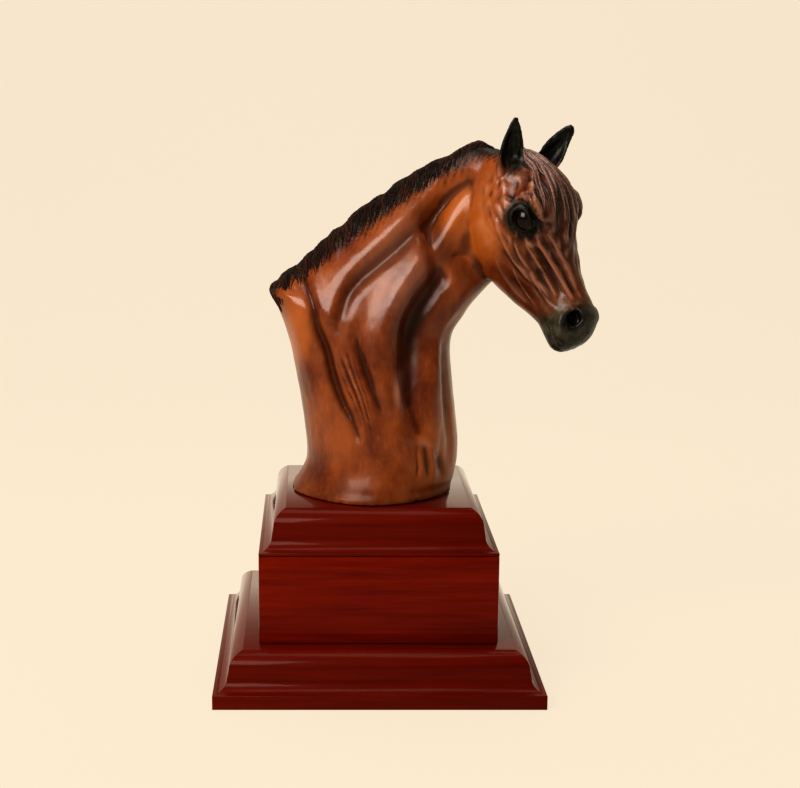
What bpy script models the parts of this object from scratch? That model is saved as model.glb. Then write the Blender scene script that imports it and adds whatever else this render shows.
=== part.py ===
"""A horse's head and neck, cast in one piece, on a stepped wooden plinth.

Metres, +Z up. The origin is the middle of the plinth's underside. The neck faces +X and the
head turns towards -Y. The bust's pose, proportions and carving are shares of BUST_HEIGHT, and
the plinth's plates follow from the bust's foot.
"""

import math

import bmesh
import bpy
import numpy as np

# The bust
BUST_HEIGHT = 0.2335
FOOT_MARGIN = 0.0015

# The plinth, from the top down
TOP_PLATE_THICKNESS = 0.026
TOP_PLATE_REACH = 0.0162
TOP_PLATE_FILLET = 0.0015
BLOCK_HEIGHT = 0.055
BLOCK_EDGE = 0.0006
LEDGE = 0.0096
BASE_PLATE_THICKNESS = 0.0315
BASE_PLATE_REACH = 0.0177
BASE_PLATE_FILLET = 0.0085

# The joint between two pieces that touch
GAP = 0.0003

# The plates' moulding, from the top down: a rounded edge, a step and a hollow. The shares are of
# how far the moulding stands out and of its height above the fillet.
MOULDING_STEPS = 6
ROUND_START = math.radians(30)
ROUND_REACH = 0.46
ROUND_DROP = 0.42
HOLLOW_STARTS_OUT = 0.52
HOLLOW_STARTS_DOWN = 0.66
HOLLOW_REACH = 0.46
HOLLOW_DROP = 0.33

# Plain colours
MAHOGANY = (0.13, 0.009, 0.004)
BAY = (0.22, 0.055, 0.018)
WOOD_ROUGHNESS = 0.25
BUST_ROUGHNESS = 0.3

# How finely the bust is cut, as shares of its height, and the faces that it keeps
FORM_GRAIN = 0.0078
FORM_SMOOTHING = 7
CARVING_GRAIN = 0.0060
CARVING_SMOOTHING = 1
BUST_FACES = 8900
RING_SIDES = 32
NECK_RINGS = 60
HEAD_RINGS = 44

# Half of the foot's width, as a share of the bust's height. Its sides run straight to the ends,
# which are flat for a share of the width, and that fades up the neck.
FOOT_HALF_WIDTH = 0.2355
FOOT_STRAIGHTNESS = 0.70
FOOT_END_FLAT = 0.26
FOOT_END_CORNER = 0.19
FOOT_SHAPE_REACH = 0.34

# Sections of the neck from the foot to the poll, each between a point of the back or crest and
# a point of the chest or throat: back x, back z, front x, front z, half width, how much the
# section swells towards the throat, turn in degrees, shift in y
NECK = (
    (-0.230, -0.030, 0.204, -0.030, FOOT_HALF_WIDTH, 0.00, 0, 0.000),
    (-0.228, 0.006, 0.206, 0.006, FOOT_HALF_WIDTH, 0.00, 0, 0.000),
    (-0.207, 0.036, 0.214, 0.036, 0.226, 0.00, 0, 0.000),
    (-0.188, 0.080, 0.223, 0.080, 0.211, 0.00, 0, 0.000),
    (-0.190, 0.140, 0.225, 0.130, 0.203, 0.02, 0, 0.000),
    (-0.200, 0.220, 0.216, 0.200, 0.194, 0.04, 0, 0.000),
    (-0.216, 0.310, 0.206, 0.270, 0.183, 0.06, 0, 0.000),
    (-0.236, 0.410, 0.199, 0.340, 0.170, 0.08, 0, 0.000),
    (-0.268, 0.500, 0.197, 0.390, 0.159, 0.10, 0, 0.000),
    (-0.282, 0.540, 0.205, 0.430, 0.151, 0.14, 0, 0.000),
    (-0.204, 0.606, 0.229, 0.467, 0.140, 0.22, 0, 0.000),
    (-0.098, 0.703, 0.252, 0.500, 0.128, 0.26, 0, 0.000),
    (0.006, 0.783, 0.277, 0.529, 0.112, 0.24, 3, -0.003),
    (0.100, 0.846, 0.304, 0.558, 0.086, 0.18, 8, -0.010),
    (0.188, 0.892, 0.338, 0.592, 0.070, 0.10, 16, -0.026),
    (0.274, 0.930, 0.372, 0.630, 0.062, 0.06, 26, -0.050),
    (0.335, 0.910, 0.400, 0.670, 0.056, 0.00, 33, -0.070),
)
WITHERS = 9 / 16
POLL = 15 / 16

# The head's own axes: u runs down the face, v out of it and w to the near side, in shares of
# the head's length
POLL_PLACE = (0.396, -0.110, 0.915)
HEAD_LENGTH = 0.522
HEAD_TURN = math.radians(38)
HEAD_DROP = math.radians(61.5)

# Sections of the head: u, top v, bottom v, half width of the face, half width at the widest,
# half width below, and how far down the section the widest lies
HEAD = (
    (-0.060, -0.080, -0.320, 0.070, 0.105, 0.090, 0.40),
    (0.000, -0.030, -0.365, 0.105, 0.140, 0.130, 0.40),
    (0.070, 0.018, -0.415, 0.140, 0.172, 0.160, 0.38),
    (0.150, 0.050, -0.460, 0.170, 0.206, 0.176, 0.34),
    (0.240, 0.064, -0.496, 0.208, 0.244, 0.184, 0.26),
    (0.320, 0.056, -0.512, 0.206, 0.242, 0.180, 0.24),
    (0.400, 0.032, -0.508, 0.166, 0.204, 0.168, 0.30),
    (0.500, -0.002, -0.484, 0.130, 0.170, 0.142, 0.36),
    (0.600, -0.030, -0.442, 0.108, 0.142, 0.116, 0.40),
    (0.700, -0.044, -0.390, 0.094, 0.122, 0.094, 0.42),
    (0.780, -0.042, -0.346, 0.090, 0.118, 0.084, 0.44),
    (0.850, -0.042, -0.340, 0.094, 0.136, 0.088, 0.42),
    (0.905, -0.062, -0.338, 0.088, 0.134, 0.090, 0.42),
    (0.945, -0.104, -0.326, 0.074, 0.112, 0.082, 0.45),
    (0.972, -0.162, -0.290, 0.048, 0.072, 0.052, 0.50),
)
SECTION_FULLNESS = 0.72

# Ears in the head's own axes: root, tip, and which way the hollow faces. Each is a leaf, whose
# width follows a stretch of a half wave.
EARS = (
    ((0.090, -0.100, 0.130), (-0.165, 0.066, 0.118), (0.20, 1.00, 0.70)),
    ((0.100, -0.100, -0.125), (-0.080, 0.104, -0.306), (0.35, 0.75, 1.00)),
)
EAR_HALF_WIDTH = 0.066
EAR_ROOT_PHASE = 0.36
EAR_TIP_PHASE = 0.95
EAR_WALL = 0.016
EAR_TIP_WALL = 0.004
EAR_STATIONS = 12
EAR_RING_STEPS = 12

# The eyes, in the head's own axes: the ball, the lids round it and the socket round those
EYE = (0.318, -0.088, 0.187)
EYE_STRETCH = (0.85, 1.15)
EYE_RADIUS = 0.040
EYE_SEGMENTS = 20
EYE_RINGS = 12
LID_REACH = 0.045
LID_WIDTH = 0.010
LID_HEIGHT = 0.015
SOCKET_REACH = 0.068
SOCKET_WIDTH = 0.016
SOCKET_DEPTH = 0.009

# Carving on both sides of the neck: depth, half width and the path in the side view. A minus
# depth is a hollow.
NECK_CARVING = (
    (-0.0130, 0.012, ((-0.198, 0.585), (-0.170, 0.509), (-0.160, 0.456), (-0.136, 0.398),
                      (-0.121, 0.337), (-0.097, 0.267), (-0.068, 0.216), (-0.051, 0.168))),
    (0.0080, 0.022, ((-0.235, 0.520), (-0.205, 0.440), (-0.185, 0.350), (-0.160, 0.270))),
    (-0.0130, 0.020, ((0.189, 0.786), (0.128, 0.737), (0.069, 0.688), (0.009, 0.633),
                      (-0.048, 0.586), (-0.084, 0.538), (-0.100, 0.486), (-0.115, 0.443))),
    (0.0090, 0.026, ((0.150, 0.800), (0.070, 0.740), (-0.020, 0.665), (-0.110, 0.590))),
    (0.0130, 0.034, ((0.214, 0.738), (0.138, 0.661), (0.071, 0.575), (0.020, 0.478),
                     (0.000, 0.377), (0.012, 0.275))),
    (-0.0200, 0.026, ((0.236, 0.692), (0.180, 0.614), (0.129, 0.541), (0.091, 0.483),
                      (0.084, 0.417), (0.085, 0.305), (0.096, 0.230), (0.113, 0.149))),
    (0.0100, 0.026, ((0.277, 0.579), (0.210, 0.500), (0.167, 0.413), (0.149, 0.319),
                     (0.145, 0.238), (0.162, 0.143))),
    (-0.0090, 0.010, ((-0.061, 0.449), (-0.045, 0.388), (-0.021, 0.316), (-0.002, 0.265),
                      (0.016, 0.231))),
    (-0.0060, 0.008, ((-0.092, 0.364), (-0.068, 0.311), (-0.044, 0.255), (-0.026, 0.209))),
    (0.0060, 0.014, ((0.100, 0.190), (0.130, 0.150), (0.146, 0.110), (0.146, 0.050))),
    (-0.0060, 0.010, ((0.172, 0.190), (0.166, 0.130), (0.168, 0.060))),
)

# Carving on the chest and throat, in the front view: depth, half width and the path in y and z
CHEST_CARVING = (
    (-0.0120, 0.020, ((0.078, 0.500), (0.074, 0.400), (0.080, 0.280), (0.096, 0.170),
                      (0.110, 0.090))),
    (0.0040, 0.030, ((0.000, 0.470), (0.000, 0.300), (0.000, 0.160))),
    (-0.0090, 0.012, ((0.000, 0.150), (0.000, 0.100), (0.000, 0.050))),
)

# The fold above the foot, which sags towards the front and the back
FOOT_FOLD_HEIGHT = 0.026
FOOT_FOLD_SAG = 0.10
FOOT_FOLD_DEPTH = -0.0030
FOOT_FOLD_WIDTH = 0.008

# Carving on both sides of the head, in its own axes: depth, half width and the path in u and v
HEAD_CARVING = (
    (-0.020, 0.030, ((0.130, -0.075), (0.215, -0.085))),
    (0.042, 0.032, ((0.220, -0.012), (0.300, 0.010), (0.385, -0.008))),
    (0.020, 0.020, ((0.370, -0.180), (0.480, -0.200), (0.600, -0.205))),
    (-0.022, 0.034, ((0.460, -0.120), (0.560, -0.130), (0.680, -0.140))),
    (0.016, 0.080, ((0.220, -0.360), (0.360, -0.350))),
    (-0.018, 0.034, ((0.500, -0.330), (0.600, -0.300), (0.700, -0.260))),
    (-0.060, 0.045, ((0.000, -0.330), (0.030, -0.440), (0.120, -0.530), (0.260, -0.590),
                     (0.400, -0.600))),
    (0.012, 0.026, ((0.800, -0.150), (0.860, -0.180), (0.900, -0.160))),
    (-0.014, 0.012, ((0.990, -0.262), (0.930, -0.272), (0.870, -0.262), (0.835, -0.248))),
)
HEAD_REACH = 0.35
HEAD_REACH_FADE = 0.05
NOSTRIL = (0.850, -0.108)
NOSTRIL_STRETCH = (1.00, 1.25)
NOSTRIL_DEPTH = -0.050
NOSTRIL_WIDTH = 0.026

# A groove or ridge starts and ends at this share of a half wave, and carving fades where the
# skin turns away by more than this gain allows
GROOVE_END_PHASE = 0.12
FACING_GAIN = 1.6

# Locks of the mane on each side of the crest: side, how far down they hang and how much that
# varies, in degrees, their radius, and how far back they sweep, as a share of the neck
MANE_STRANDS = 17
MANE_SIDES = (
    (1, 38, 8, 0.0125, 0.030),
    (-1, 78, 14, 0.0160, 0.020),
)
MANE_END_MARGIN = 0.010
MANE_POLL_MARGIN = 0.002
MANE_PARTING = 6
MANE_WAVE = 0.006

# Locks of the forelock: their angles on the forehead in degrees, their length and where they
# start, in shares of the head's length, how much the length varies, and how they spread and sway
FORELOCK_ANGLES = (-34, -19, -6, 8, 22, 37)
FORELOCK_START = -0.045
FORELOCK_LENGTH = 0.52
FORELOCK_VARIES = 0.09
FORELOCK_RADIUS = 0.0100
FORELOCK_ROOT_SPREAD = 0.50
FORELOCK_TIP_SPREAD = 1.25
FORELOCK_SWAY = 5
STRAND_POINTS = 9
FORELOCK_POINTS = 12
STRAND_SIDES = 8
STRAND_ROOT_PHASE = 0.22
STRAND_TIP_PHASE = 0.94
STRAND_FULLNESS = 0.7


def clear_scene():
    """Removes every object."""
    for each in list(bpy.data.objects):
        bpy.data.objects.remove(each, do_unlink=True)


def material(name, colour, roughness):
    """A Principled material with the part's plain colour."""
    made = bpy.data.materials.new(name)
    made.use_nodes = True
    shader = made.node_tree.nodes["Principled BSDF"]
    shader.inputs["Base Color"].default_value = (*colour, 1)
    shader.inputs["Roughness"].default_value = roughness
    shader.inputs["Metallic"].default_value = 0
    made.diffuse_color = (*colour, 1)
    return made


def add_object(name, shape, finish):
    """Puts a bmesh in the scene as one object."""
    bmesh.ops.recalc_face_normals(shape, faces=shape.faces)
    mesh = bpy.data.meshes.new(name)
    shape.to_mesh(mesh)
    shape.free()
    mesh.materials.append(finish)
    made = bpy.data.objects.new(name, mesh)
    bpy.context.scene.collection.objects.link(made)
    return made


def along(rows, share):
    """The row at a share of the way along a smooth curve through the rows."""
    rows = np.asarray(rows, float)
    place = share * (len(rows) - 1)
    first = min(max(int(place), 0), len(rows) - 2)
    part = place - first
    before = rows[max(first - 1, 0)]
    start = rows[first]
    end = rows[first + 1]
    after = rows[min(first + 2, len(rows) - 1)]
    bend = 2 * before - 5 * start + 4 * end - after
    twist = 3 * (start - end) + after - before
    return start + 0.5 * part * (end - before + part * (bend + part * twist))


def loft(shape, rings):
    """Skins a list of rings of points, and closes both ends."""
    loops = [[shape.verts.new(point) for point in ring] for ring in rings]
    for low, high in zip(loops, loops[1:]):
        for k in range(len(low)):
            after = (k + 1) % len(low)
            shape.faces.new((low[k], low[after], high[after], high[k]))
    shape.faces.new(reversed(loops[0]))
    shape.faces.new(loops[-1])


def neck_point(share, angle):
    """A point of the neck's skin: angle 0 is the crest, and plus is the near side."""
    back_x, back_z, front_x, front_z, half_width, swell, turn, shift = along(NECK, share)
    across = (1 - math.cos(angle)) / 2
    fade = max(0.0, 1 - share / FOOT_SHAPE_REACH)
    bow = abs(math.sin(angle))
    flat = FOOT_END_FLAT * fade * min(1.0, bow / FOOT_END_CORNER)
    bow = bow ** (1 + FOOT_STRAIGHTNESS * fade)
    around = math.copysign(flat + (1 - flat) * bow, math.sin(angle)) if bow > 0 else 0.0
    width = half_width * around * (1 - swell * math.cos(angle))
    turn = math.radians(turn)
    return np.array((
        back_x + across * (front_x - back_x) - width * math.sin(turn),
        shift - width * math.cos(turn),
        back_z + across * (front_z - back_z),
    ))


def head_axes():
    """The head's three axes: down the face, out of the face and to the near side."""
    ahead = np.array((math.cos(HEAD_TURN), -math.sin(HEAD_TURN), 0))
    near = np.array((-math.sin(HEAD_TURN), -math.cos(HEAD_TURN), 0))
    rise = np.array((0, 0, 1))
    down = math.cos(HEAD_DROP) * ahead - math.sin(HEAD_DROP) * rise
    out = math.sin(HEAD_DROP) * ahead + math.cos(HEAD_DROP) * rise
    return np.array((down, out, near))


def from_head(place):
    """A place in the head's own axes as a share of the bust."""
    return np.array(POLL_PLACE) + HEAD_LENGTH * np.asarray(place, float) @ head_axes()


def to_head(points):
    """Points of the bust in the head's own axes."""
    return (points - np.array(POLL_PLACE)) @ head_axes().T / HEAD_LENGTH


def head_point(u, angle):
    """A point of the head's skin: angle 0 is the middle of the face, and plus is the near side."""
    stations = [row[0] for row in HEAD]
    share = np.interp(u, stations, np.linspace(0, 1, len(HEAD)))
    u, top, bottom, face, widest, below, level = along(HEAD, share)
    across = (1 - math.cos(angle)) / 2
    if across < level:
        ease = math.sin(across / level * math.pi / 2)
        width = face + (widest - face) * ease
    else:
        ease = math.sin((1 - across) / (1 - level) * math.pi / 2)
        width = below + (widest - below) * ease
    fullness = math.copysign(abs(math.sin(angle)) ** SECTION_FULLNESS, math.sin(angle))
    return from_head((u, top + across * (bottom - top), width * fullness))


def ring_angles(count):
    """Angles right round a section."""
    return [2 * math.pi * k / count for k in range(count)]


def add_neck(shape):
    """Lofts the neck from the foot to inside the head."""
    shares = np.linspace(0, 1, NECK_RINGS)
    loft(shape, [[neck_point(s, a) for a in ring_angles(RING_SIDES)] for s in shares])


def add_head(shape):
    """Lofts the head from behind the poll to the lips."""
    stations = np.linspace(HEAD[0][0], HEAD[-1][0], HEAD_RINGS)
    loft(shape, [[head_point(u, a) for a in ring_angles(RING_SIDES)] for u in stations])


def half_wave(root, tip, share):
    """Height at a share of the stretch of a half wave between two phases."""
    return max(0.0, math.sin(math.pi * (root + (tip - root) * share)))


def add_ear(shape, root, tip, hollow_faces):
    """Lofts one ear: a pointed leaf, hollowed on one side."""
    start = from_head(root)
    end = from_head(tip)
    axis = (end - start) / np.linalg.norm(end - start)
    facing = np.asarray(hollow_faces, float) @ head_axes()
    facing = facing - (facing @ axis) * axis
    facing = facing / np.linalg.norm(facing)
    side = np.cross(axis, facing)
    turns = [math.pi * k / EAR_RING_STEPS for k in range(EAR_RING_STEPS + 1)]
    rings = []
    for share in np.linspace(0, 1, EAR_STATIONS):
        width = EAR_HALF_WIDTH * half_wave(EAR_ROOT_PHASE, EAR_TIP_PHASE, share)
        half = HEAD_LENGTH * (width + EAR_TIP_WALL)
        inner = max(half - EAR_WALL * HEAD_LENGTH, half / 10) * math.sqrt(half_wave(0, 1, share))
        middle = start + share * (end - start)
        back = [middle + half * (math.cos(a) * side - math.sin(a) * facing) for a in turns]
        bowl = [middle + inner * (math.cos(a) * side - math.sin(a) * facing) for a in turns]
        rings.append(back + bowl[::-1])
    loft(shape, rings)


def add_eye(shape, side):
    """Adds the ball of one eye."""
    centre = from_head((EYE[0], EYE[1], side * EYE[2]))
    made = bmesh.ops.create_uvsphere(
        shape, u_segments=EYE_SEGMENTS, v_segments=EYE_RINGS, radius=EYE_RADIUS * HEAD_LENGTH
    )
    bmesh.ops.translate(shape, verts=made["verts"], vec=centre)


def add_strand(shape, middles, radius):
    """A strand of hair: a tube that narrows to its tip."""
    middles = [np.asarray(each) for each in middles]
    last = len(middles) - 1
    rings = []
    for k, middle in enumerate(middles):
        run = middles[min(k + 1, last)] - middles[max(k - 1, 0)]
        run = run / np.linalg.norm(run)
        first = np.cross(run, (0, 1, 0.3))
        first = first / np.linalg.norm(first)
        second = np.cross(run, first)
        wave = half_wave(STRAND_ROOT_PHASE, STRAND_TIP_PHASE, k / last)
        thick = radius * wave ** STRAND_FULLNESS
        rings.append([
            middle + thick * (math.cos(a) * first + math.sin(a) * second)
            for a in ring_angles(STRAND_SIDES)
        ])
    loft(shape, rings)


def add_mane(shape):
    """Lays the mane along the crest: short roots on the near side, long locks on the far side."""
    for k in range(MANE_STRANDS):
        run = POLL - MANE_POLL_MARGIN - WITHERS - MANE_END_MARGIN
        start = WITHERS + MANE_END_MARGIN + run * k / (MANE_STRANDS - 1)
        wave = MANE_WAVE * math.sin(2.3 * k)
        for side, drop, varies, radius, sweep in MANE_SIDES:
            hang = drop + varies * math.sin(1.5 * k)
            middles = []
            for share in np.linspace(0, 1, STRAND_POINTS):
                angle = math.radians(side * (hang * share - MANE_PARTING))
                slide = start - sweep * share + wave * math.sin(2 * math.pi * share)
                middles.append(neck_point(max(slide, WITHERS), angle))
            add_strand(shape, middles, radius)


def add_forelock(shape):
    """Lays the forelock from between the ears down over the forehead."""
    for k, middle_angle in enumerate(FORELOCK_ANGLES):
        length = FORELOCK_LENGTH + FORELOCK_VARIES * math.sin(2.1 * k + 0.6)
        middles = []
        for share in np.linspace(0, 1, FORELOCK_POINTS):
            spread = FORELOCK_ROOT_SPREAD + (FORELOCK_TIP_SPREAD - FORELOCK_ROOT_SPREAD) * share
            sway = FORELOCK_SWAY * math.sin(2.6 * math.pi * share + 1.9 * k)
            angle = math.radians(middle_angle * spread + sway)
            middles.append(head_point(FORELOCK_START + length * share, angle))
        add_strand(shape, middles, FORELOCK_RADIUS)


def worked(shape, add_modifiers):
    """The shape as the modifiers leave it."""
    finish = bpy.data.materials.new("form")
    form = add_object("form", shape, finish)
    add_modifiers(form)
    graph = bpy.context.evaluated_depsgraph_get()
    mesh = bpy.data.meshes.new_from_object(form.evaluated_get(graph))
    made = bmesh.new()
    made.from_mesh(mesh)
    bpy.data.objects.remove(form, do_unlink=True)
    bpy.data.meshes.remove(mesh)
    bpy.data.materials.remove(finish)
    return made


def blended(shape, grain, smoothing):
    """Melts overlapping shapes into one skin, and softens it."""

    def melt_and_soften(form):
        melt = form.modifiers.new("melt", "REMESH")
        melt.mode = "VOXEL"
        melt.voxel_size = grain
        soften = form.modifiers.new("soften", "SMOOTH")
        soften.factor = 0.5
        soften.iterations = smoothing

    return worked(shape, melt_and_soften)


def thinned(shape, faces):
    """Keeps about this many faces where the form needs them most."""

    def thin(form):
        triangles = sum(len(face.vertices) - 2 for face in form.data.polygons)
        fewer = form.modifiers.new("fewer", "DECIMATE")
        fewer.ratio = min(1.0, faces / triangles)

    return worked(shape, thin)


def path_distance(places, path):
    """How far each place is from a path, and the share of the path where it is nearest."""
    path = [np.asarray(along(path, share)) for share in np.linspace(0, 1, 4 * len(path))]
    best = np.full(len(places), np.inf)
    share = np.zeros(len(places))
    for k in range(len(path) - 1):
        run = path[k + 1] - path[k]
        part = np.clip((places - path[k]) @ run / (run @ run), 0, 1)
        away = np.linalg.norm(places - path[k] - part[:, None] * run, axis=1)
        nearer = away < best
        best[nearer] = away[nearer]
        share[nearer] = (k + part[nearer]) / (len(path) - 1)
    return best, share


def bump(away, half_width):
    """A smooth bump's height at a distance from its middle."""
    return np.exp(-((away / half_width) ** 2))


def groove(places, depth, half_width, path):
    """Depth at each place of a groove or ridge that runs along a path and fades at its ends."""
    away, share = path_distance(places, path)
    fade = np.sin(np.pi * (GROOVE_END_PHASE + (1 - 2 * GROOVE_END_PHASE) * share))
    return depth * fade * bump(away, half_width)


def facing(share_of_normal):
    """How fully carving shows where this much of the skin's normal faces it."""
    return np.clip(share_of_normal * FACING_GAIN, 0, 1)


def neck_depths(points, normals):
    """Depth of the neck's, the chest's and the foot's carving at each point."""
    depth = np.zeros(len(points))
    side = facing(np.abs(normals[:, 1]))
    for amount, half_width, path in NECK_CARVING:
        depth += side * groove(points[:, [0, 2]], amount, half_width, path)
    front = facing(normals[:, 0])
    across = np.stack([np.abs(points[:, 1]), points[:, 2]], axis=1)
    for amount, half_width, path in CHEST_CARVING:
        depth += front * groove(across, amount, half_width, path)
    fold = FOOT_FOLD_HEIGHT - FOOT_FOLD_SAG * points[:, 0] ** 2
    return depth + FOOT_FOLD_DEPTH * bump(points[:, 2] - fold, FOOT_FOLD_WIDTH)


def head_depths(points, normals):
    """Depth of the head's carving at each point, on both sides of the head."""
    own = to_head(points)
    close = np.clip((HEAD_REACH - np.abs(own[:, 2])) / HEAD_REACH_FADE, 0, 1)
    cheek = facing(np.abs(normals @ head_axes()[2])) * close
    depth = np.zeros(len(points))
    for amount, half_width, path in HEAD_CARVING:
        depth += groove(own[:, :2], amount, half_width, path)
    away = np.linalg.norm((own[:, :2] - NOSTRIL) * NOSTRIL_STRETCH, axis=1)
    depth += NOSTRIL_DEPTH * bump(away, NOSTRIL_WIDTH)
    around = np.linalg.norm((own[:, :2] - EYE[:2]) * EYE_STRETCH, axis=1)
    depth += LID_HEIGHT * bump(around - LID_REACH, LID_WIDTH)
    depth -= SOCKET_DEPTH * bump(around - SOCKET_REACH, SOCKET_WIDTH)
    return HEAD_LENGTH * cheek * depth


def carve(shape):
    """Presses the carving into the skin along its normals."""
    shape.normal_update()
    points = np.array([vert.co[:] for vert in shape.verts])
    normals = np.array([vert.normal[:] for vert in shape.verts])
    depth = neck_depths(points, normals) + head_depths(points, normals)
    for vert, place in zip(shape.verts, points + depth[:, None] * normals):
        vert.co = place


def cut_foot_flat(shape):
    """Cuts the casting off flat at the level of its foot."""
    everything = list(shape.verts) + list(shape.edges) + list(shape.faces)
    bmesh.ops.bisect_plane(
        shape, geom=everything, dist=1e-5, plane_co=(0, 0, 0), plane_no=(0, 0, 1),
        clear_inner=True,
    )
    rim = [edge for edge in shape.edges if edge.is_boundary]
    bmesh.ops.holes_fill(shape, edges=rim, sides=0)


def make_bust(foot_level, finish):
    """Makes the casting, standing at this height."""
    form = bmesh.new()
    add_neck(form)
    add_head(form)
    form = blended(form, FORM_GRAIN, FORM_SMOOTHING)
    for root, tip, hollow_faces in EARS:
        add_ear(form, root, tip, hollow_faces)
    add_eye(form, 1)
    add_eye(form, -1)
    add_mane(form)
    add_forelock(form)
    form = blended(form, CARVING_GRAIN, CARVING_SMOOTHING)
    carve(form)
    form = thinned(form, BUST_FACES)
    cut_foot_flat(form)
    bmesh.ops.scale(form, vec=(BUST_HEIGHT,) * 3, verts=form.verts)
    bmesh.ops.translate(form, vec=(0, 0, foot_level), verts=form.verts)
    bust = add_object("horse_bust", form, finish)
    bust.data.shade_smooth()
    return bust


def moulding(reach, height, fillet):
    """A moulding's edge from the top down: how far out it stands and how far down it is."""
    curve = height - fillet
    edge = [(0.0, 0.0)]
    for k in range(1, MOULDING_STEPS + 1):
        turn = ROUND_START + (math.pi / 2 - ROUND_START) * k / MOULDING_STEPS
        out = (math.sin(turn) - math.sin(ROUND_START)) / (1 - math.sin(ROUND_START))
        down = (math.cos(ROUND_START) - math.cos(turn)) / math.cos(ROUND_START)
        edge.append((ROUND_REACH * reach * out, ROUND_DROP * curve * down))
    for k in range(MOULDING_STEPS + 1):
        turn = math.pi / 2 * k / MOULDING_STEPS
        out = HOLLOW_STARTS_OUT + HOLLOW_REACH * (1 - math.cos(turn))
        down = HOLLOW_STARTS_DOWN + HOLLOW_DROP * math.sin(turn)
        edge.append((reach * out, curve * down))
    edge.append((reach, curve))
    edge.append((reach, height))
    return edge


def square_ring(half, level):
    """The four corners of a square at a height."""
    return [(-half, -half, level), (half, -half, level), (half, half, level), (-half, half, level)]


def make_moulded_plate(name, top_half, reach, thickness, fillet, underside):
    """A square plate with the same moulding on all four sides."""
    shape = bmesh.new()
    edge = moulding(reach, thickness, fillet)
    rings = [square_ring(top_half + out, underside + thickness - down) for out, down in edge]
    loft(shape, rings[::-1])
    finish = material(name.replace("_", " ") + " mahogany", MAHOGANY, WOOD_ROUGHNESS)
    return add_object(name, shape, finish)


def make_block(half, height, underside):
    """The plinth's square block, its edges just broken."""
    shape = bmesh.new()
    loft(shape, [square_ring(half, underside), square_ring(half, underside + height)])
    finish = material("plinth block mahogany", MAHOGANY, WOOD_ROUGHNESS)
    block = add_object("plinth_block", shape, finish)
    broken = block.modifiers.new("broken edges", "BEVEL")
    broken.width = BLOCK_EDGE
    broken.segments = 1
    return block


def main():
    """Builds the plinth from the bust's foot outwards, and stands the bust on it."""
    clear_scene()
    flat_half = FOOT_HALF_WIDTH * BUST_HEIGHT + FOOT_MARGIN
    block_half = flat_half + TOP_PLATE_REACH
    base_flat_half = block_half + LEDGE
    block_underside = BASE_PLATE_THICKNESS + GAP
    top_plate_underside = block_underside + BLOCK_HEIGHT + GAP
    foot_level = top_plate_underside + TOP_PLATE_THICKNESS + GAP

    make_moulded_plate(
        "base_plate", base_flat_half, BASE_PLATE_REACH, BASE_PLATE_THICKNESS,
        BASE_PLATE_FILLET, 0,
    )
    make_block(block_half, BLOCK_HEIGHT, block_underside)
    make_moulded_plate(
        "top_plate", flat_half, TOP_PLATE_REACH, TOP_PLATE_THICKNESS,
        TOP_PLATE_FILLET, top_plate_underside,
    )
    make_bust(foot_level, material("bay lacquer", BAY, BUST_ROUGHNESS))


main()
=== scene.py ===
"""The looks of a horse head trophy: a cast, painted and lacquered bust on a mahogany plinth.

Metres, +Z up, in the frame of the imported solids. The neck faces +X and the head turns towards
-Y, the near side. Carving on the neck is given in shares of the bust's height, in the side view,
and carving on the head in the head's own axes, in shares of its length.
"""

import logging
import math
from dataclasses import dataclass, field
from enum import Enum
from typing import Callable, Iterable, Sequence

import bmesh
import bpy
import numpy as np
from mathutils import Matrix, Vector
from mathutils.bvhtree import BVHTree


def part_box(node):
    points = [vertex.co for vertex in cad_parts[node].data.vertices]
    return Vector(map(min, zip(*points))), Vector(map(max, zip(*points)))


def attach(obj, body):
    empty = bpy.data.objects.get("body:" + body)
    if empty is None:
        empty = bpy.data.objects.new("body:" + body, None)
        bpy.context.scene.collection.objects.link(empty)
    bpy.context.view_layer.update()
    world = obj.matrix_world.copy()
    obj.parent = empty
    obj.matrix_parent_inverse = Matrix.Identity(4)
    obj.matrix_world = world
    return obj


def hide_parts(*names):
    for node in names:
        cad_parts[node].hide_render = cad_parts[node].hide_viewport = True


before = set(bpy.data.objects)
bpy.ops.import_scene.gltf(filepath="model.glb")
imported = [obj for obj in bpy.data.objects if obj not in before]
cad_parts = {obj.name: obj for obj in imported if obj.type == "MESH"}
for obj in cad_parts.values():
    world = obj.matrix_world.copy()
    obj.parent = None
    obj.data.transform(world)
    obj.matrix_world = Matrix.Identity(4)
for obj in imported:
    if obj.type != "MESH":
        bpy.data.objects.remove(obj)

log = logging.getLogger("horse_trophy")

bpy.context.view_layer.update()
BODY = "root"
Piece = bpy.types.Object
Socket = bpy.types.NodeSocket
Span = tuple[float, float]
Place = tuple[float, float, float]
Colour = tuple[float, float, float]
Noise = tuple[float, float, float]
Path = Sequence[tuple[float, float]]
Carving = tuple[float, float, Path]
ALL: Span = (0.0, 1.0)
EDGE_ANGLE = math.radians(30)
SMOOTH_ANGLE = math.radians(35)
STEPS_A_POINT = 4
CARVING_REACH = 3
FADE_START = 0.03
FADE_RUN = 0.94
FADE_POWER = 0.8
WAVES = 14
WAVE_SPREAD = (0.7, 1.4)


class Side(Enum):
    """The two sides of the horse: near is its right, which the head turns to."""

    NEAR = 1
    FAR = -1


class Slot(Enum):
    """The record's material slots."""

    LACQUER = "bay_lacquer"
    WOOD = "mahogany"


class Part(Enum):
    """What is selected in edit mode, and where a mesh keeps it."""

    POINTS = ("VERT", "vertices")
    EDGES = ("EDGE", "edges")
    FACES = ("FACE", "polygons")


def deselect_all() -> None:
    """Leaves object mode with nothing selected."""
    if bpy.context.mode != "OBJECT":
        bpy.ops.object.mode_set(mode="OBJECT")
    bpy.ops.object.select_all(action="DESELECT")


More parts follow.
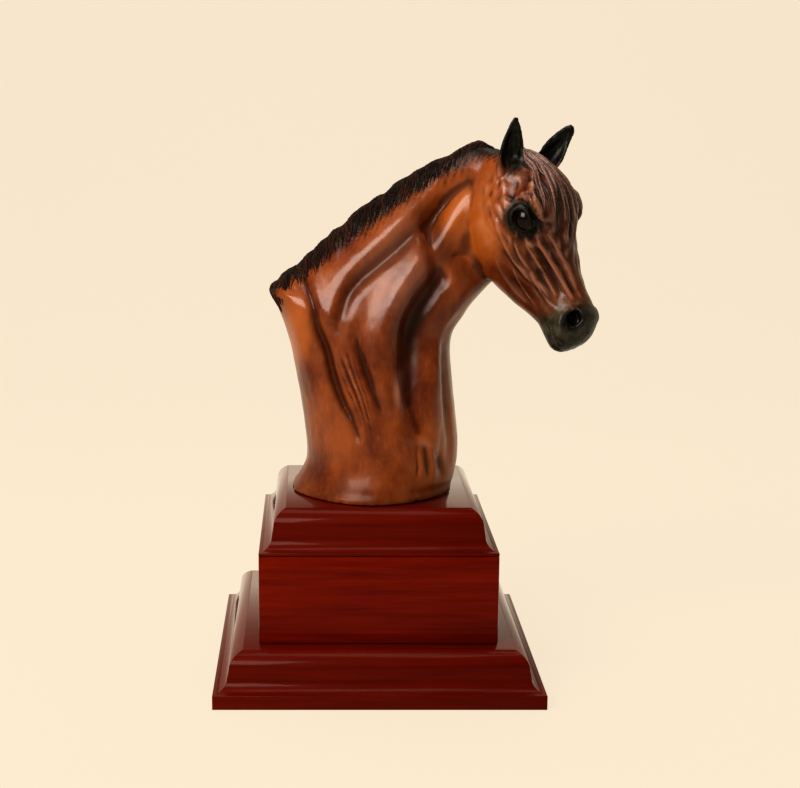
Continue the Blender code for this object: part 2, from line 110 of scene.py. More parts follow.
def take_up(piece: Piece) -> None:
    """Makes one object the selected and active one.

    Args:
        piece: The object to work on.
    """
    deselect_all()
    piece.select_set(True)
    bpy.context.view_layer.objects.active = piece


def modified(piece: Piece, name: str, kind: str, **values: object) -> None:
    """Puts a modifier on a piece and applies it.

    Args:
        piece: The object.
        name: The modifier's name.
        kind: Its type.
        **values: Its settings.
    """
    take_up(piece)
    made = piece.modifiers.new(name, kind)
    for key, value in values.items():
        setattr(made, key, value)
    bpy.ops.object.modifier_apply(modifier=name)


def start_from(
    add: Callable[..., set[str]], name: str, middle: Sequence[float], size: Sequence[float]
) -> Piece:
    """Adds a primitive and brings it to its size.

    Args:
        add: The operator that adds the primitive, one metre in size.
        name: The object's name.
        middle: Where its middle lies.
        size: Its size along each axis, in metres.

    Returns:
        The object, with its place and size in its mesh.
    """
    deselect_all()
    add(size=1, location=middle)
    piece = bpy.context.object
    piece.name = name
    bpy.ops.transform.resize(value=size)
    bpy.ops.object.transform_apply(location=True, rotation=True, scale=True)
    return piece


def pick(piece: Piece, part: Part, wanted: Callable[[bpy.types.bpy_struct], bool]) -> None:
    """Selects some of a piece's points, edges or faces, and leaves it in edit mode.

    Args:
        piece: The object.
        part: What is selected.
        wanted: Says whether one of them is selected.
    """
    kind, where = part.value
    bpy.ops.object.mode_set(mode="EDIT")
    bpy.ops.mesh.select_mode(type=kind)
    bpy.ops.mesh.select_all(action="DESELECT")
    bpy.ops.object.mode_set(mode="OBJECT")
    for each in getattr(piece.data, where):
        each.select = wanted(each)
    bpy.ops.object.mode_set(mode="EDIT")


def triangle_count(piece: Piece) -> int:
    """How many triangles a piece has."""
    return sum(len(face.vertices) - 2 for face in piece.data.polygons)


def new_object(name: str, mesh: bpy.types.Mesh) -> Piece:
    """Puts a mesh in the scene as one object at the origin.

    Args:
        name: The object's name.
        mesh: Its mesh.

    Returns:
        The new object.
    """
    mesh.name = name
    made = bpy.data.objects.new(name, mesh)
    bpy.context.scene.collection.objects.link(made)
    return made


def finish_piece(
    piece: Piece, finish: bpy.types.Material, replaced: Iterable[str] = ()
) -> None:
    """Gives a piece its material and its place in the frame.

    Args:
        piece: The finished object.
        finish: Its material.
        replaced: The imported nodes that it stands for.
    """
    piece.data.materials.clear()
    piece.data.materials.append(finish)
    for node in replaced:
        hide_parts(node)
    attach(piece, BODY)
    log.info("%s: %d triangles", piece.name, triangle_count(piece))


class Nodes:
    """A material's nodes, added and joined one at a time."""

    def __init__(self, name: str) -> None:
        """Starts a material with one Principled shader.

        Args:
            name: The material's name.
        """
        self.material = bpy.data.materials.new(name)
        self.material.use_nodes = True
        self.tree = self.material.node_tree
        self.shader = self.tree.nodes["Principled BSDF"]

    def add(self, kind: str, **values: object) -> bpy.types.Node:
        """Adds a node.

        Args:
            kind: The node's type.
            **values: Its properties, or the default values of its inputs by name.

        Returns:
            The node.
        """
        node = self.tree.nodes.new(kind)
        for key, value in values.items():
            if hasattr(node, key):
                setattr(node, key, value)
            else:
                node.inputs[key.replace("_", " ")].default_value = value
        return node

    def join(self, source: Socket, target: Socket) -> None:
        """Links one socket to another."""
        self.tree.links.new(source, target)

    def set(self, **values: object) -> None:
        """Sets plain values on the shader, each named by its socket."""
        for key, value in values.items():
            self.shader.inputs[key.replace("_", " ")].default_value = value

    def mapped(self, scale: Place = (1.0, 1.0, 1.0)) -> Socket:
        """Object coordinates, stretched.

        Args:
            scale: How much each axis is scaled.

        Returns:
            The socket with the coordinates.
        """
        place = self.add("ShaderNodeTexCoord")
        stretch = self.add("ShaderNodeMapping", Scale=scale)
        self.join(place.outputs["Object"], stretch.inputs["Vector"])
        return stretch.outputs["Vector"]

    def masks(self, name: str) -> list[Socket]:
        """The red, green, blue and alpha of one of the piece's attributes."""
        read = self.add("ShaderNodeAttribute", attribute_name=name)
        split = self.add("ShaderNodeSeparateColor")
        self.join(read.outputs["Color"], split.inputs["Color"])
        return [*split.outputs, read.outputs["Alpha"]]

    def noise(self, where: Socket, scale: float, detail: float = 3.0, rough: float = 0.55) -> Socket:
        """Noise at a scale.

        Args:
            where: The coordinates.
            scale: The noise's scale.
            detail: How many octaves it has.
            rough: How strong the finer ones are.

        Returns:
            The socket with the noise's value.
        """
        made = self.add("ShaderNodeTexNoise", Scale=scale, Detail=detail, Roughness=rough)
        self.join(where, made.inputs["Vector"])
        return made.outputs["Fac"]

    def ramp(self, value: Socket, span: Span, onto: Span = ALL) -> Socket:
        """A value spread from one range onto another, and kept in it.

        Args:
            value: The value.
            span: The range that it comes from.
            onto: The range that it is spread over.

        Returns:
            The socket with the new value.
        """
        made = self.add("ShaderNodeMapRange", clamp=True)
        for name, number in zip(("From Min", "From Max", "To Min", "To Max"), (*span, *onto)):
            made.inputs[name].default_value = number
        self.join(value, made.inputs["Value"])
        return made.outputs["Result"]

    def mix(self, share: Socket, first: object, second: object) -> Socket:
        """Two colours mixed.

        Args:
            share: How much of the second shows.
            first: A colour, or a socket with one.
            second: A colour, or a socket with one.

        Returns:
            The socket with the mixed colour.
        """
        made = self.add("ShaderNodeMix", data_type="RGBA")
        self.join(share, made.inputs[0])
        for colour, target in ((first, made.inputs[6]), (second, made.inputs[7])):
            if isinstance(colour, Socket):
                self.join(colour, target)
            else:
                target.default_value = (*colour, 1.0)
        return made.outputs[2]

    def math(self, what: str, first: Socket, second: Socket) -> Socket:
        """Two values put together.

        Args:
            what: The operation.
            first: The first value.
            second: The second value.

        Returns:
            The socket with the result.
        """
        made = self.add("ShaderNodeMath", operation=what)
        self.join(first, made.inputs[0])
        self.join(second, made.inputs[1])
        return made.outputs[0]

    def edge_coat(self, span: Span, weights: Span) -> Socket:
        """A clear coat that shows least where it is looked straight at.

        Args:
            span: How flat the view is where it starts to show and where it shows in full.
            weights: Its weight at the two.

        Returns:
            The socket with the weight.
        """
        layer = self.add("ShaderNodeLayerWeight", Blend=0.5)
        return self.ramp(layer.outputs["Facing"], span, weights)

    def bump(self, height: Socket, strength: float, distance: float) -> None:
        """Gives the shader a bump.

        Args:
            height: The socket with the height.
            strength: How strong the bump is.
            distance: How high it is, in metres.
        """
        made = self.add("ShaderNodeBump", Strength=strength, Distance=distance)
        self.join(height, made.inputs["Height"])
        self.join(made.outputs["Normal"], self.shader.inputs["Normal"])


@dataclass(frozen=True)
class BayLacquer:
    """The bust's paint: bay, with black points, painted highlights on the cheek and ridges and painted
    shade in the hollows, under gloss lacquer.

    A span says where in the clouds or brush marks a colour comes in, and a share how much of it.
    """

    bay: Colour = (0.250, 0.066, 0.012)
    deep: Colour = (0.110, 0.019, 0.003)
    # tan: the coat's warmer tone, and a painted highlight where light falls on the cheek, throat and
    # shoulder
    tan: Colour = (0.430, 0.130, 0.022)
    umber: Colour = (0.060, 0.017, 0.006)
    # painted shade: the dark laid in grooves, creases and hollows, where shade falls
    shade: Colour = (0.022, 0.003, 0.0008)
    black: Colour = (0.0045, 0.0040, 0.0030)
    olive: Colour = (0.036, 0.034, 0.022)
    muzzle: Colour = (0.090, 0.080, 0.052)
    # painted highlight: a pale pink laid on ridges, strands and muscle bands where the light catches
    # them
    painted_highlight: Colour = (0.380, 0.190, 0.125)
    cloud_stretch: Place = (1.0, 1.0, 0.7)
    cloud_scale: float = 42.0
    brush_stretch: Place = (1.0, 1.0, 0.35)
    brush_marks: Noise = (420.0, 4.0, 0.6)
    deep_span: Span = (0.36, 0.66)
    tan_span: Span = (0.50, 0.85)
    tan_share: Span = (0.0, 0.30)
    umber_span: Span = (0.30, 0.62)
    umber_share: Span = (0.6, 1.0)
    olive_span: Span = (0.48, 0.76)
    rough_span: Span = (0.30, 0.75)
    roughness: Span = (0.37, 0.50)
    specular: float = 0.16
    coat: Span = (0.80, 0.26)
    matt_coat: Span = (1.0, 0.1)
    coat_roughness: float = 0.22
    coat_ior: float = 1.38
    bump_strength: float = 0.22
    bump_height: float = 0.0003

    def material(self) -> bpy.types.Material:
        """Builds the finish from the skin's paint and detail attributes.

        Returns:
            The material.
        """
        made = Nodes("bay_lacquer")
        black, tan, shade, umber = made.masks("paint")
        painted_highlight, muzzle, matt, _ = made.masks("detail")
        cloudy = made.noise(made.mapped(self.cloud_stretch), self.cloud_scale)
        brushed = made.noise(made.mapped(self.brush_stretch), *self.brush_marks)
        body = made.mix(made.ramp(cloudy, self.deep_span), self.bay, self.deep)
        body = made.mix(made.ramp(brushed, self.tan_span, self.tan_share), body, self.tan)
        # tan paint: a painted highlight on the cheek, throat and shoulder, and the chest's own tan
        body = made.mix(tan, body, self.tan)
        patchy = made.ramp(brushed, self.umber_span, self.umber_share)
        body = made.mix(made.math("MULTIPLY", umber, patchy), body, self.umber)
        # painted shade in the grooves, creases and hollows
        body = made.mix(shade, body, self.shade)
        # painted highlights on the ridges, the face's grain, the strands and the muscle bands
        body = made.mix(painted_highlight, body, self.painted_highlight)
        dark = made.mix(made.ramp(brushed, self.olive_span), self.black, self.olive)
        dark = made.mix(muzzle, dark, self.muzzle)
        made.join(made.mix(black, body, dark), made.shader.inputs["Base Color"])
        rough = made.ramp(brushed, self.rough_span, self.roughness)
        made.join(rough, made.shader.inputs["Roughness"])
        gloss = made.ramp(made.math("MAXIMUM", black, shade), ALL, self.coat)
        coat = made.math("MULTIPLY", gloss, made.ramp(matt, ALL, self.matt_coat))
        made.join(coat, made.shader.inputs["Coat Weight"])
        made.set(
            Specular_IOR_Level=self.specular, Coat_Roughness=self.coat_roughness,
            Coat_IOR=self.coat_ior,
        )
        made.bump(brushed, self.bump_strength, self.bump_height)
        return made.material


@dataclass(frozen=True)
class HairPaint:
    """The mane's or forelock's paint: near black, some locks browner."""

    name: str
    black: Colour = (0.0060, 0.0030, 0.0018)
    brown: Colour = (0.064, 0.016, 0.006)
    roughness: float = 0.50
    gloss: float = 0.25
    streak_scale: float = 700.0
    streak_span: Span = (0.35, 0.65)
    streak_share: Span = (0.4, 1.0)
    coat_roughness: float = 0.28
    coat_ior: float = 1.38
    bump_strength: float = 0.3
    bump_height: float = 0.0003

    def material(self) -> bpy.types.Material:
        """Builds the finish from each lock's tone.

        Returns:
            The material.
        """
        made = Nodes(self.name)
        tone = made.add("ShaderNodeAttribute", attribute_name="tone").outputs["Fac"]
        streaks = made.noise(made.mapped(), self.streak_scale)
        patchy = made.ramp(streaks, self.streak_span, self.streak_share)
        share = made.math("MULTIPLY", tone, patchy)
        made.join(made.mix(share, self.black, self.brown), made.shader.inputs["Base Color"])
        made.set(
            Roughness=self.roughness, Specular_IOR_Level=self.gloss, Coat_Weight=self.gloss,
            Coat_Roughness=self.coat_roughness, Coat_IOR=self.coat_ior,
        )
        made.bump(streaks, self.bump_strength, self.bump_height)
        return made.material


@dataclass(frozen=True)
class EyeGloss:
    """The eyes: a black pupil in a very dark brown iris, under clear gloss."""

    pupil: Colour = (0.002, 0.002, 0.002)
    iris: Colour = (0.010, 0.005, 0.003)
    roughness: float = 0.15
    specular: float = 0.2
    coat: float = 0.4
    coat_roughness: float = 0.16
    coat_ior: float = 1.33

    def material(self) -> bpy.types.Material:
        """Builds the finish from the eye's own pupil attribute.

        Returns:
            The material.
        """
        made = Nodes("eye_gloss")
        inside = made.add("ShaderNodeAttribute", attribute_name="pupil").outputs["Fac"]
        made.join(made.mix(inside, self.iris, self.pupil), made.shader.inputs["Base Color"])
        made.set(
            Roughness=self.roughness, Specular_IOR_Level=self.specular, Coat_Weight=self.coat,
            Coat_Roughness=self.coat_roughness, Coat_IOR=self.coat_ior,
        )
        return made.material


@dataclass(frozen=True)
class Mahogany:
    """Stained mahogany under gloss varnish, its grain along X."""

    name: str
    light: Colour = (0.128, 0.0082, 0.0002)
    dark: Colour = (0.075, 0.0034, 0.0001)
    grain_seed: float = 0.0
    stretch: Place = (0.05, 1.0, 1.0)
    streaks: Noise = (260.0, 6.0, 0.62)
    figure: Noise = (45.0, 2.0, 0.5)
    pores: Noise = (1500.0, 2.0, 0.5)
    streak_span: Span = (0.30, 0.72)
    figure_span: Span = (0.2, 0.8)
    figure_share: Span = (0.6, 1.0)
    pore_span: Span = (0.62, 0.78)
    pore_share: Span = (0.0, 0.6)
    roughness: float = 0.38
    specular: float = 0.05
    coat_span: Span = (0.55, 0.85)
    coat: Span = (0.10, 1.0)
    coat_roughness: float = 0.05
    coat_ior: float = 1.5
    bump_strength: float = 0.06
    bump_height: float = 0.0002

    def material(self) -> bpy.types.Material:
        """Builds the wood from long streaks, fine pores and a slow figure.

        Returns:
            The material.
        """
        made = Nodes(self.name)
        place = made.add("ShaderNodeTexCoord")
        shift = made.add(
            "ShaderNodeMapping", Location=(self.grain_seed, 0.0, self.grain_seed),
            Scale=self.stretch,
        )
        made.join(place.outputs["Object"], shift.inputs["Vector"])
        where = shift.outputs["Vector"]
        streaks = made.noise(where, *self.streaks)
        pores = made.noise(where, *self.pores)
        figure = made.ramp(made.noise(where, *self.figure), self.figure_span, self.figure_share)
        grain = made.math("MULTIPLY", made.ramp(streaks, self.streak_span), figure)
        wood = made.mix(grain, self.light, self.dark)
        wood = made.mix(made.ramp(pores, self.pore_span, self.pore_share), wood, self.dark)
        made.join(wood, made.shader.inputs["Base Color"])
        made.set(
            Roughness=self.roughness, Specular_IOR_Level=self.specular,
            Coat_Roughness=self.coat_roughness, Coat_IOR=self.coat_ior,
        )
        made.join(made.edge_coat(self.coat_span, self.coat), made.shader.inputs["Coat Weight"])
        made.bump(made.math("ADD", streaks, pores), self.bump_strength, self.bump_height)
        return made.material


@dataclass(frozen=True)
class PaleGround:
    """The plain pale sweep that the trophy stands on, lit a little from behind."""

    colour: Colour = (0.064, 0.054, 0.044)
    glow_colour: Colour = (0.80, 0.702, 0.565)
    glow: float = 0.765
    cloud_scale: float = 2.0
    cloud_span: Span = (0.3, 0.7)
    cloud_shade: float = 0.96
    roughness: float = 0.9
    specular: float = 0.1

    def material(self) -> bpy.types.Material:
        """Builds a matt, faintly uneven finish.

        Returns:
            The material.
        """
        made = Nodes("pale_ground")
        cloudy = made.noise(made.mapped(), self.cloud_scale)
        darker = tuple(self.cloud_shade * part for part in self.colour)
        cream = made.mix(made.ramp(cloudy, self.cloud_span), self.colour, darker)
        made.join(cream, made.shader.inputs["Base Color"])
        made.set(
            Roughness=self.roughness, Specular_IOR_Level=self.specular,
            Emission_Color=(*self.glow_colour, 1.0), Emission_Strength=self.glow,
        )
        return made.material


def along(rows: Sequence[Sequence[float]], share: float) -> np.ndarray:
    """The row at a share of the way along a smooth curve through the rows.

    Args:
        rows: The rows that the curve passes through.
        share: How far along, from 0 to 1.

    Returns:
        The row there.
    """
    rows = np.asarray(rows, float)
    place = share * (len(rows) - 1)
    first = min(max(int(place), 0), len(rows) - 2)
    part = place - first
    before = rows[max(first - 1, 0)]
    start = rows[first]
    end = rows[first + 1]
    after = rows[min(first + 2, len(rows) - 1)]
    bend = 2 * before - 5 * start + 4 * end - after
    twist = 3 * (start - end) + after - before
    return start + 0.5 * part * (end - before + part * (bend + part * twist))


def bump_of(away: np.ndarray, half_width: float) -> np.ndarray:
    """A smooth bump's height at a distance from its middle."""
    return np.exp(-((away / half_width) ** 2))


def eased(values: np.ndarray, low: float, high: float) -> np.ndarray:
    """Values spread smoothly from 0 at low to 1 at high.

    Args:
        values: The values.
        low: What becomes 0.
        high: What becomes 1.

    Returns:
        The shares.
    """
    share = np.clip((values - low) / (high - low), 0, 1)
    return share * share * (3 - 2 * share)


def path_distance(places: np.ndarray, path: Path) -> tuple[np.ndarray, np.ndarray]:
    """How far each place is from a path.

    Args:
        places: Points in the path's plane.
        path: The points that the path passes through.

    Returns:
        The distances, and the share of the path where each is nearest.
    """
    points = [along(path, share) for share in np.linspace(0, 1, STEPS_A_POINT * len(path))]
    best = np.full(len(places), np.inf)
    share = np.zeros(len(places))
    for k in range(len(points) - 1):
        run = points[k + 1] - points[k]
        part = np.clip((places - points[k]) @ run / (run @ run), 0, 1)
        away = np.linalg.norm(places - points[k] - part[:, None] * run, axis=1)
        nearer = away < best
        best[nearer] = away[nearer]
        share[nearer] = (k + part[nearer]) / (len(points) - 1)
    return best, share


def carved(places: np.ndarray, carving: Iterable[Carving]) -> np.ndarray:
    """The depth of grooves and ridges that run along paths and fade at their ends.

    Args:
        places: Points in the paths' plane.
        carving: Depth, half width and path of each; a minus depth is a hollow.

    Returns:
        The depth at each place.
    """
    depth = np.zeros(len(places))
    for amount, half_width, path in carving:
        corners = np.asarray(path)
        reach = CARVING_REACH * half_width
        low = corners.min(0) - reach
        high = corners.max(0) + reach
        close = np.nonzero(((places > low) & (places < high)).all(axis=1))[0]
        away, share = path_distance(places[close], path)
        fade = np.sin(np.pi * np.clip(FADE_START + FADE_RUN * share, 0, 1)) ** FADE_POWER
        depth[close] += amount * fade * bump_of(away, half_width)
    return depth


def ripple(points: np.ndarray, wavelength: float, seed: int) -> np.ndarray:
    """A soft random unevenness with one main wavelength.

    Args:
        points: Where it is wanted.
        wavelength: The length of its waves.
        seed: Which of many such patterns.

    Returns:
        Heights from about -1 to 1.
    """
    draw = np.random.default_rng(seed)
    ways = draw.normal(size=(WAVES, 3))
    ways /= np.linalg.norm(ways, axis=1)[:, None]
    ways *= (2 * np.pi / wavelength) * draw.uniform(*WAVE_SPREAD, (WAVES, 1))
    phases = draw.uniform(0, 2 * np.pi, WAVES)
    return np.sin(points @ ways.T + phases).sum(axis=1) / math.sqrt(WAVES)


@dataclass
class HeadAxes:
    """The head's own axes: u down the face, v out of it and w to the near side."""

    bust_height: float
    foot_level: float
    poll: Place = (0.396, -0.110, 0.915)
    length: float = 0.522
    turn: float = math.radians(38)
    drop: float = math.radians(61.5)
    axes: np.ndarray = field(init=False)

    def __post_init__(self) -> None:
        """Works out the three axes."""
        ahead = np.array((math.cos(self.turn), -math.sin(self.turn), 0))
        near = np.array((-math.sin(self.turn), -math.cos(self.turn), 0))
        rise = np.array((0, 0, 1))
        down = math.cos(self.drop) * ahead - math.sin(self.drop) * rise
        out = math.sin(self.drop) * ahead + math.cos(self.drop) * rise
        self.axes = np.array((down, out, near))

    @property
    def size(self) -> float:
        """The head's length in metres."""
        return self.length * self.bust_height

    def shares(self, points: np.ndarray) -> np.ndarray:
        """Points in metres as shares of the bust's height, above its foot."""
        return (points - (0, 0, self.foot_level)) / self.bust_height

    def own(self, points: np.ndarray) -> np.ndarray:
        """Points in metres in the head's own axes."""
        return (self.shares(points) - np.array(self.poll)) @ self.axes.T / self.length

    def place(self, own: Sequence[float]) -> np.ndarray:
        """A place in the head's own axes, in metres."""
        share = np.array(self.poll) + self.length * np.asarray(own, float) @ self.axes
        return share * self.bust_height + (0, 0, self.foot_level)


class Skin:
    """The bust's surface as arrays that sculpting works on."""

    IN_AND_OUT = (0.55, -0.50)
    MELT_STEP = 0.5

    def __init__(self, piece: Piece) -> None:
        """Reads the piece's points and edges.

        Args:
            piece: The object that is sculpted.
        """
        self.piece = piece
        mesh = piece.data
        count = len(mesh.vertices)
        self.points = np.empty(count * 3)
        mesh.vertices.foreach_get("co", self.points)
        self.points = self.points.reshape(-1, 3)
        edges = np.empty(len(mesh.edges) * 2, int)
        mesh.edges.foreach_get("vertices", edges)
        self.edges = edges.reshape(-1, 2)
        self.degree = np.bincount(self.edges.ravel(), minlength=count)

    def normals(self) -> np.ndarray:
        """The surface's normals at its points."""
        self.write()
        found = np.empty(len(self.points) * 3)
        self.piece.data.vertex_normals.foreach_get("vector", found)
        return found.reshape(-1, 3)

    def write(self) -> None:
        """Puts the points back on the mesh."""
        self.piece.data.vertices.foreach_set("co", self.points.ravel())
        self.piece.data.update()

    def mean(self, values: np.ndarray) -> np.ndarray:
        """Each point's neighbours' mean of some values."""
        count = len(self.points)
        first, second = self.edges.T
        total = np.empty_like(values)
        for k in range(values.shape[1]):
            total[:, k] = np.bincount(first, values[second, k], count)
            total[:, k] += np.bincount(second, values[first, k], count)
        return total / self.degree[:, None]

    def soften(self, rounds: int, weight: np.ndarray) -> None:
        """Smooths the surface without shrinking it much.

        Args:
            rounds: How many times.
            weight: How much each point takes part, from 0 to 1.
        """
        weight = weight[:, None]
        for _ in range(rounds):
            for step in self.IN_AND_OUT:
                self.points += step * weight * (self.mean(self.points) - self.points)

    def melt(self, rounds: int, weight: np.ndarray) -> None:
        """Smooths the surface and lets it sink.

        Args:
            rounds: How many times.
            weight: How much each point takes part, from 0 to 1.
        """
        for _ in range(rounds):
            toward = self.mean(self.points) - self.points
            self.points += self.MELT_STEP * weight[:, None] * toward

    def hollows(self, rounds: int) -> np.ndarray:
        """How far each point lies in a hollow, in metres; less than nothing on a ridge."""
        smooth = self.points
        for _ in range(rounds):
            smooth = 0.5 * smooth + 0.5 * self.mean(smooth)
        return ((smooth - self.points) * self.normals()).sum(axis=1)


@dataclass
class Crest:
    """The line of the neck's crest from the withers to the poll, in shares of the bust."""

    head: HeadAxes
    samples: int = 160
    step: float = 0.02
    line: tuple[Place, ...] = (
        (-0.282, 0.000, 0.540), (-0.204, 0.000, 0.606), (-0.098, 0.000, 0.703),
        (0.006, -0.003, 0.783), (0.100, -0.010, 0.846), (0.188, -0.026, 0.892),
        (0.274, -0.050, 0.930), (0.335, -0.070, 0.910),
    )

    def at(self, share: float) -> np.ndarray:
        """The crest's point at a share of its length, in metres."""
        return along(self.line, share) * self.head.bust_height + (0, 0, self.head.foot_level)

    def frame_at(self, share: float) -> tuple[np.ndarray, np.ndarray, np.ndarray]:
        """The crest's point, the way along it and the way to the near side.

        Args:
            share: How far along, from 0 to 1.

        Returns:
            The point, the way along and the way across.
        """
        point = self.at(share)
        run = self.at(min(share + self.step, 1.0)) - self.at(max(share - self.step, 0.0))
        run /= np.linalg.norm(run)
        across = np.cross(run, (0, 0, 1))
        return point, run, across / np.linalg.norm(across)

    def nearest(self, points: np.ndarray) -> tuple[np.ndarray, np.ndarray, np.ndarray]:
        """Where points lie against the crest.

        Args:
            points: Points in metres.

        Returns:
            Each point's distance from the crest, the distance run along it from the withers,
            and the distance across it, plus on the near side.
        """
        frames = [self.frame_at(share) for share in np.linspace(0, 1, self.samples)]
        line = np.array([each[0] for each in frames])
        across = np.array([each[2] for each in frames])
        runs = np.concatenate(([0.0], np.cumsum(np.linalg.norm(np.diff(line, axis=0), axis=1))))
        best = np.full(len(points), np.inf)
        which = np.zeros(len(points), int)
        for k, place in enumerate(line):
            away = np.linalg.norm(points - place, axis=1)
            nearer = away < best
            best[nearer] = away[nearer]
            which[nearer] = k
        aside = ((points - line[which]) * across[which]).sum(axis=1)
        return best, runs[which], aside


@dataclass
class Marks:
    """Where the skin's points lie on the bust.

    own is in the head's axes, shares is in shares of the bust's height, and on_head says how
    far each point belongs to the head.
    """

    skin: Skin
    own: np.ndarray
    shares: np.ndarray
    on_head: np.ndarray

    @property
    def side_view(self) -> np.ndarray:
        """The points in the side view, in shares of the bust's height."""
        return self.shares[:, [0, 2]]

    @property
    def face_view(self) -> np.ndarray:
        """The points in the head's own side view."""
        return self.own[:, :2]


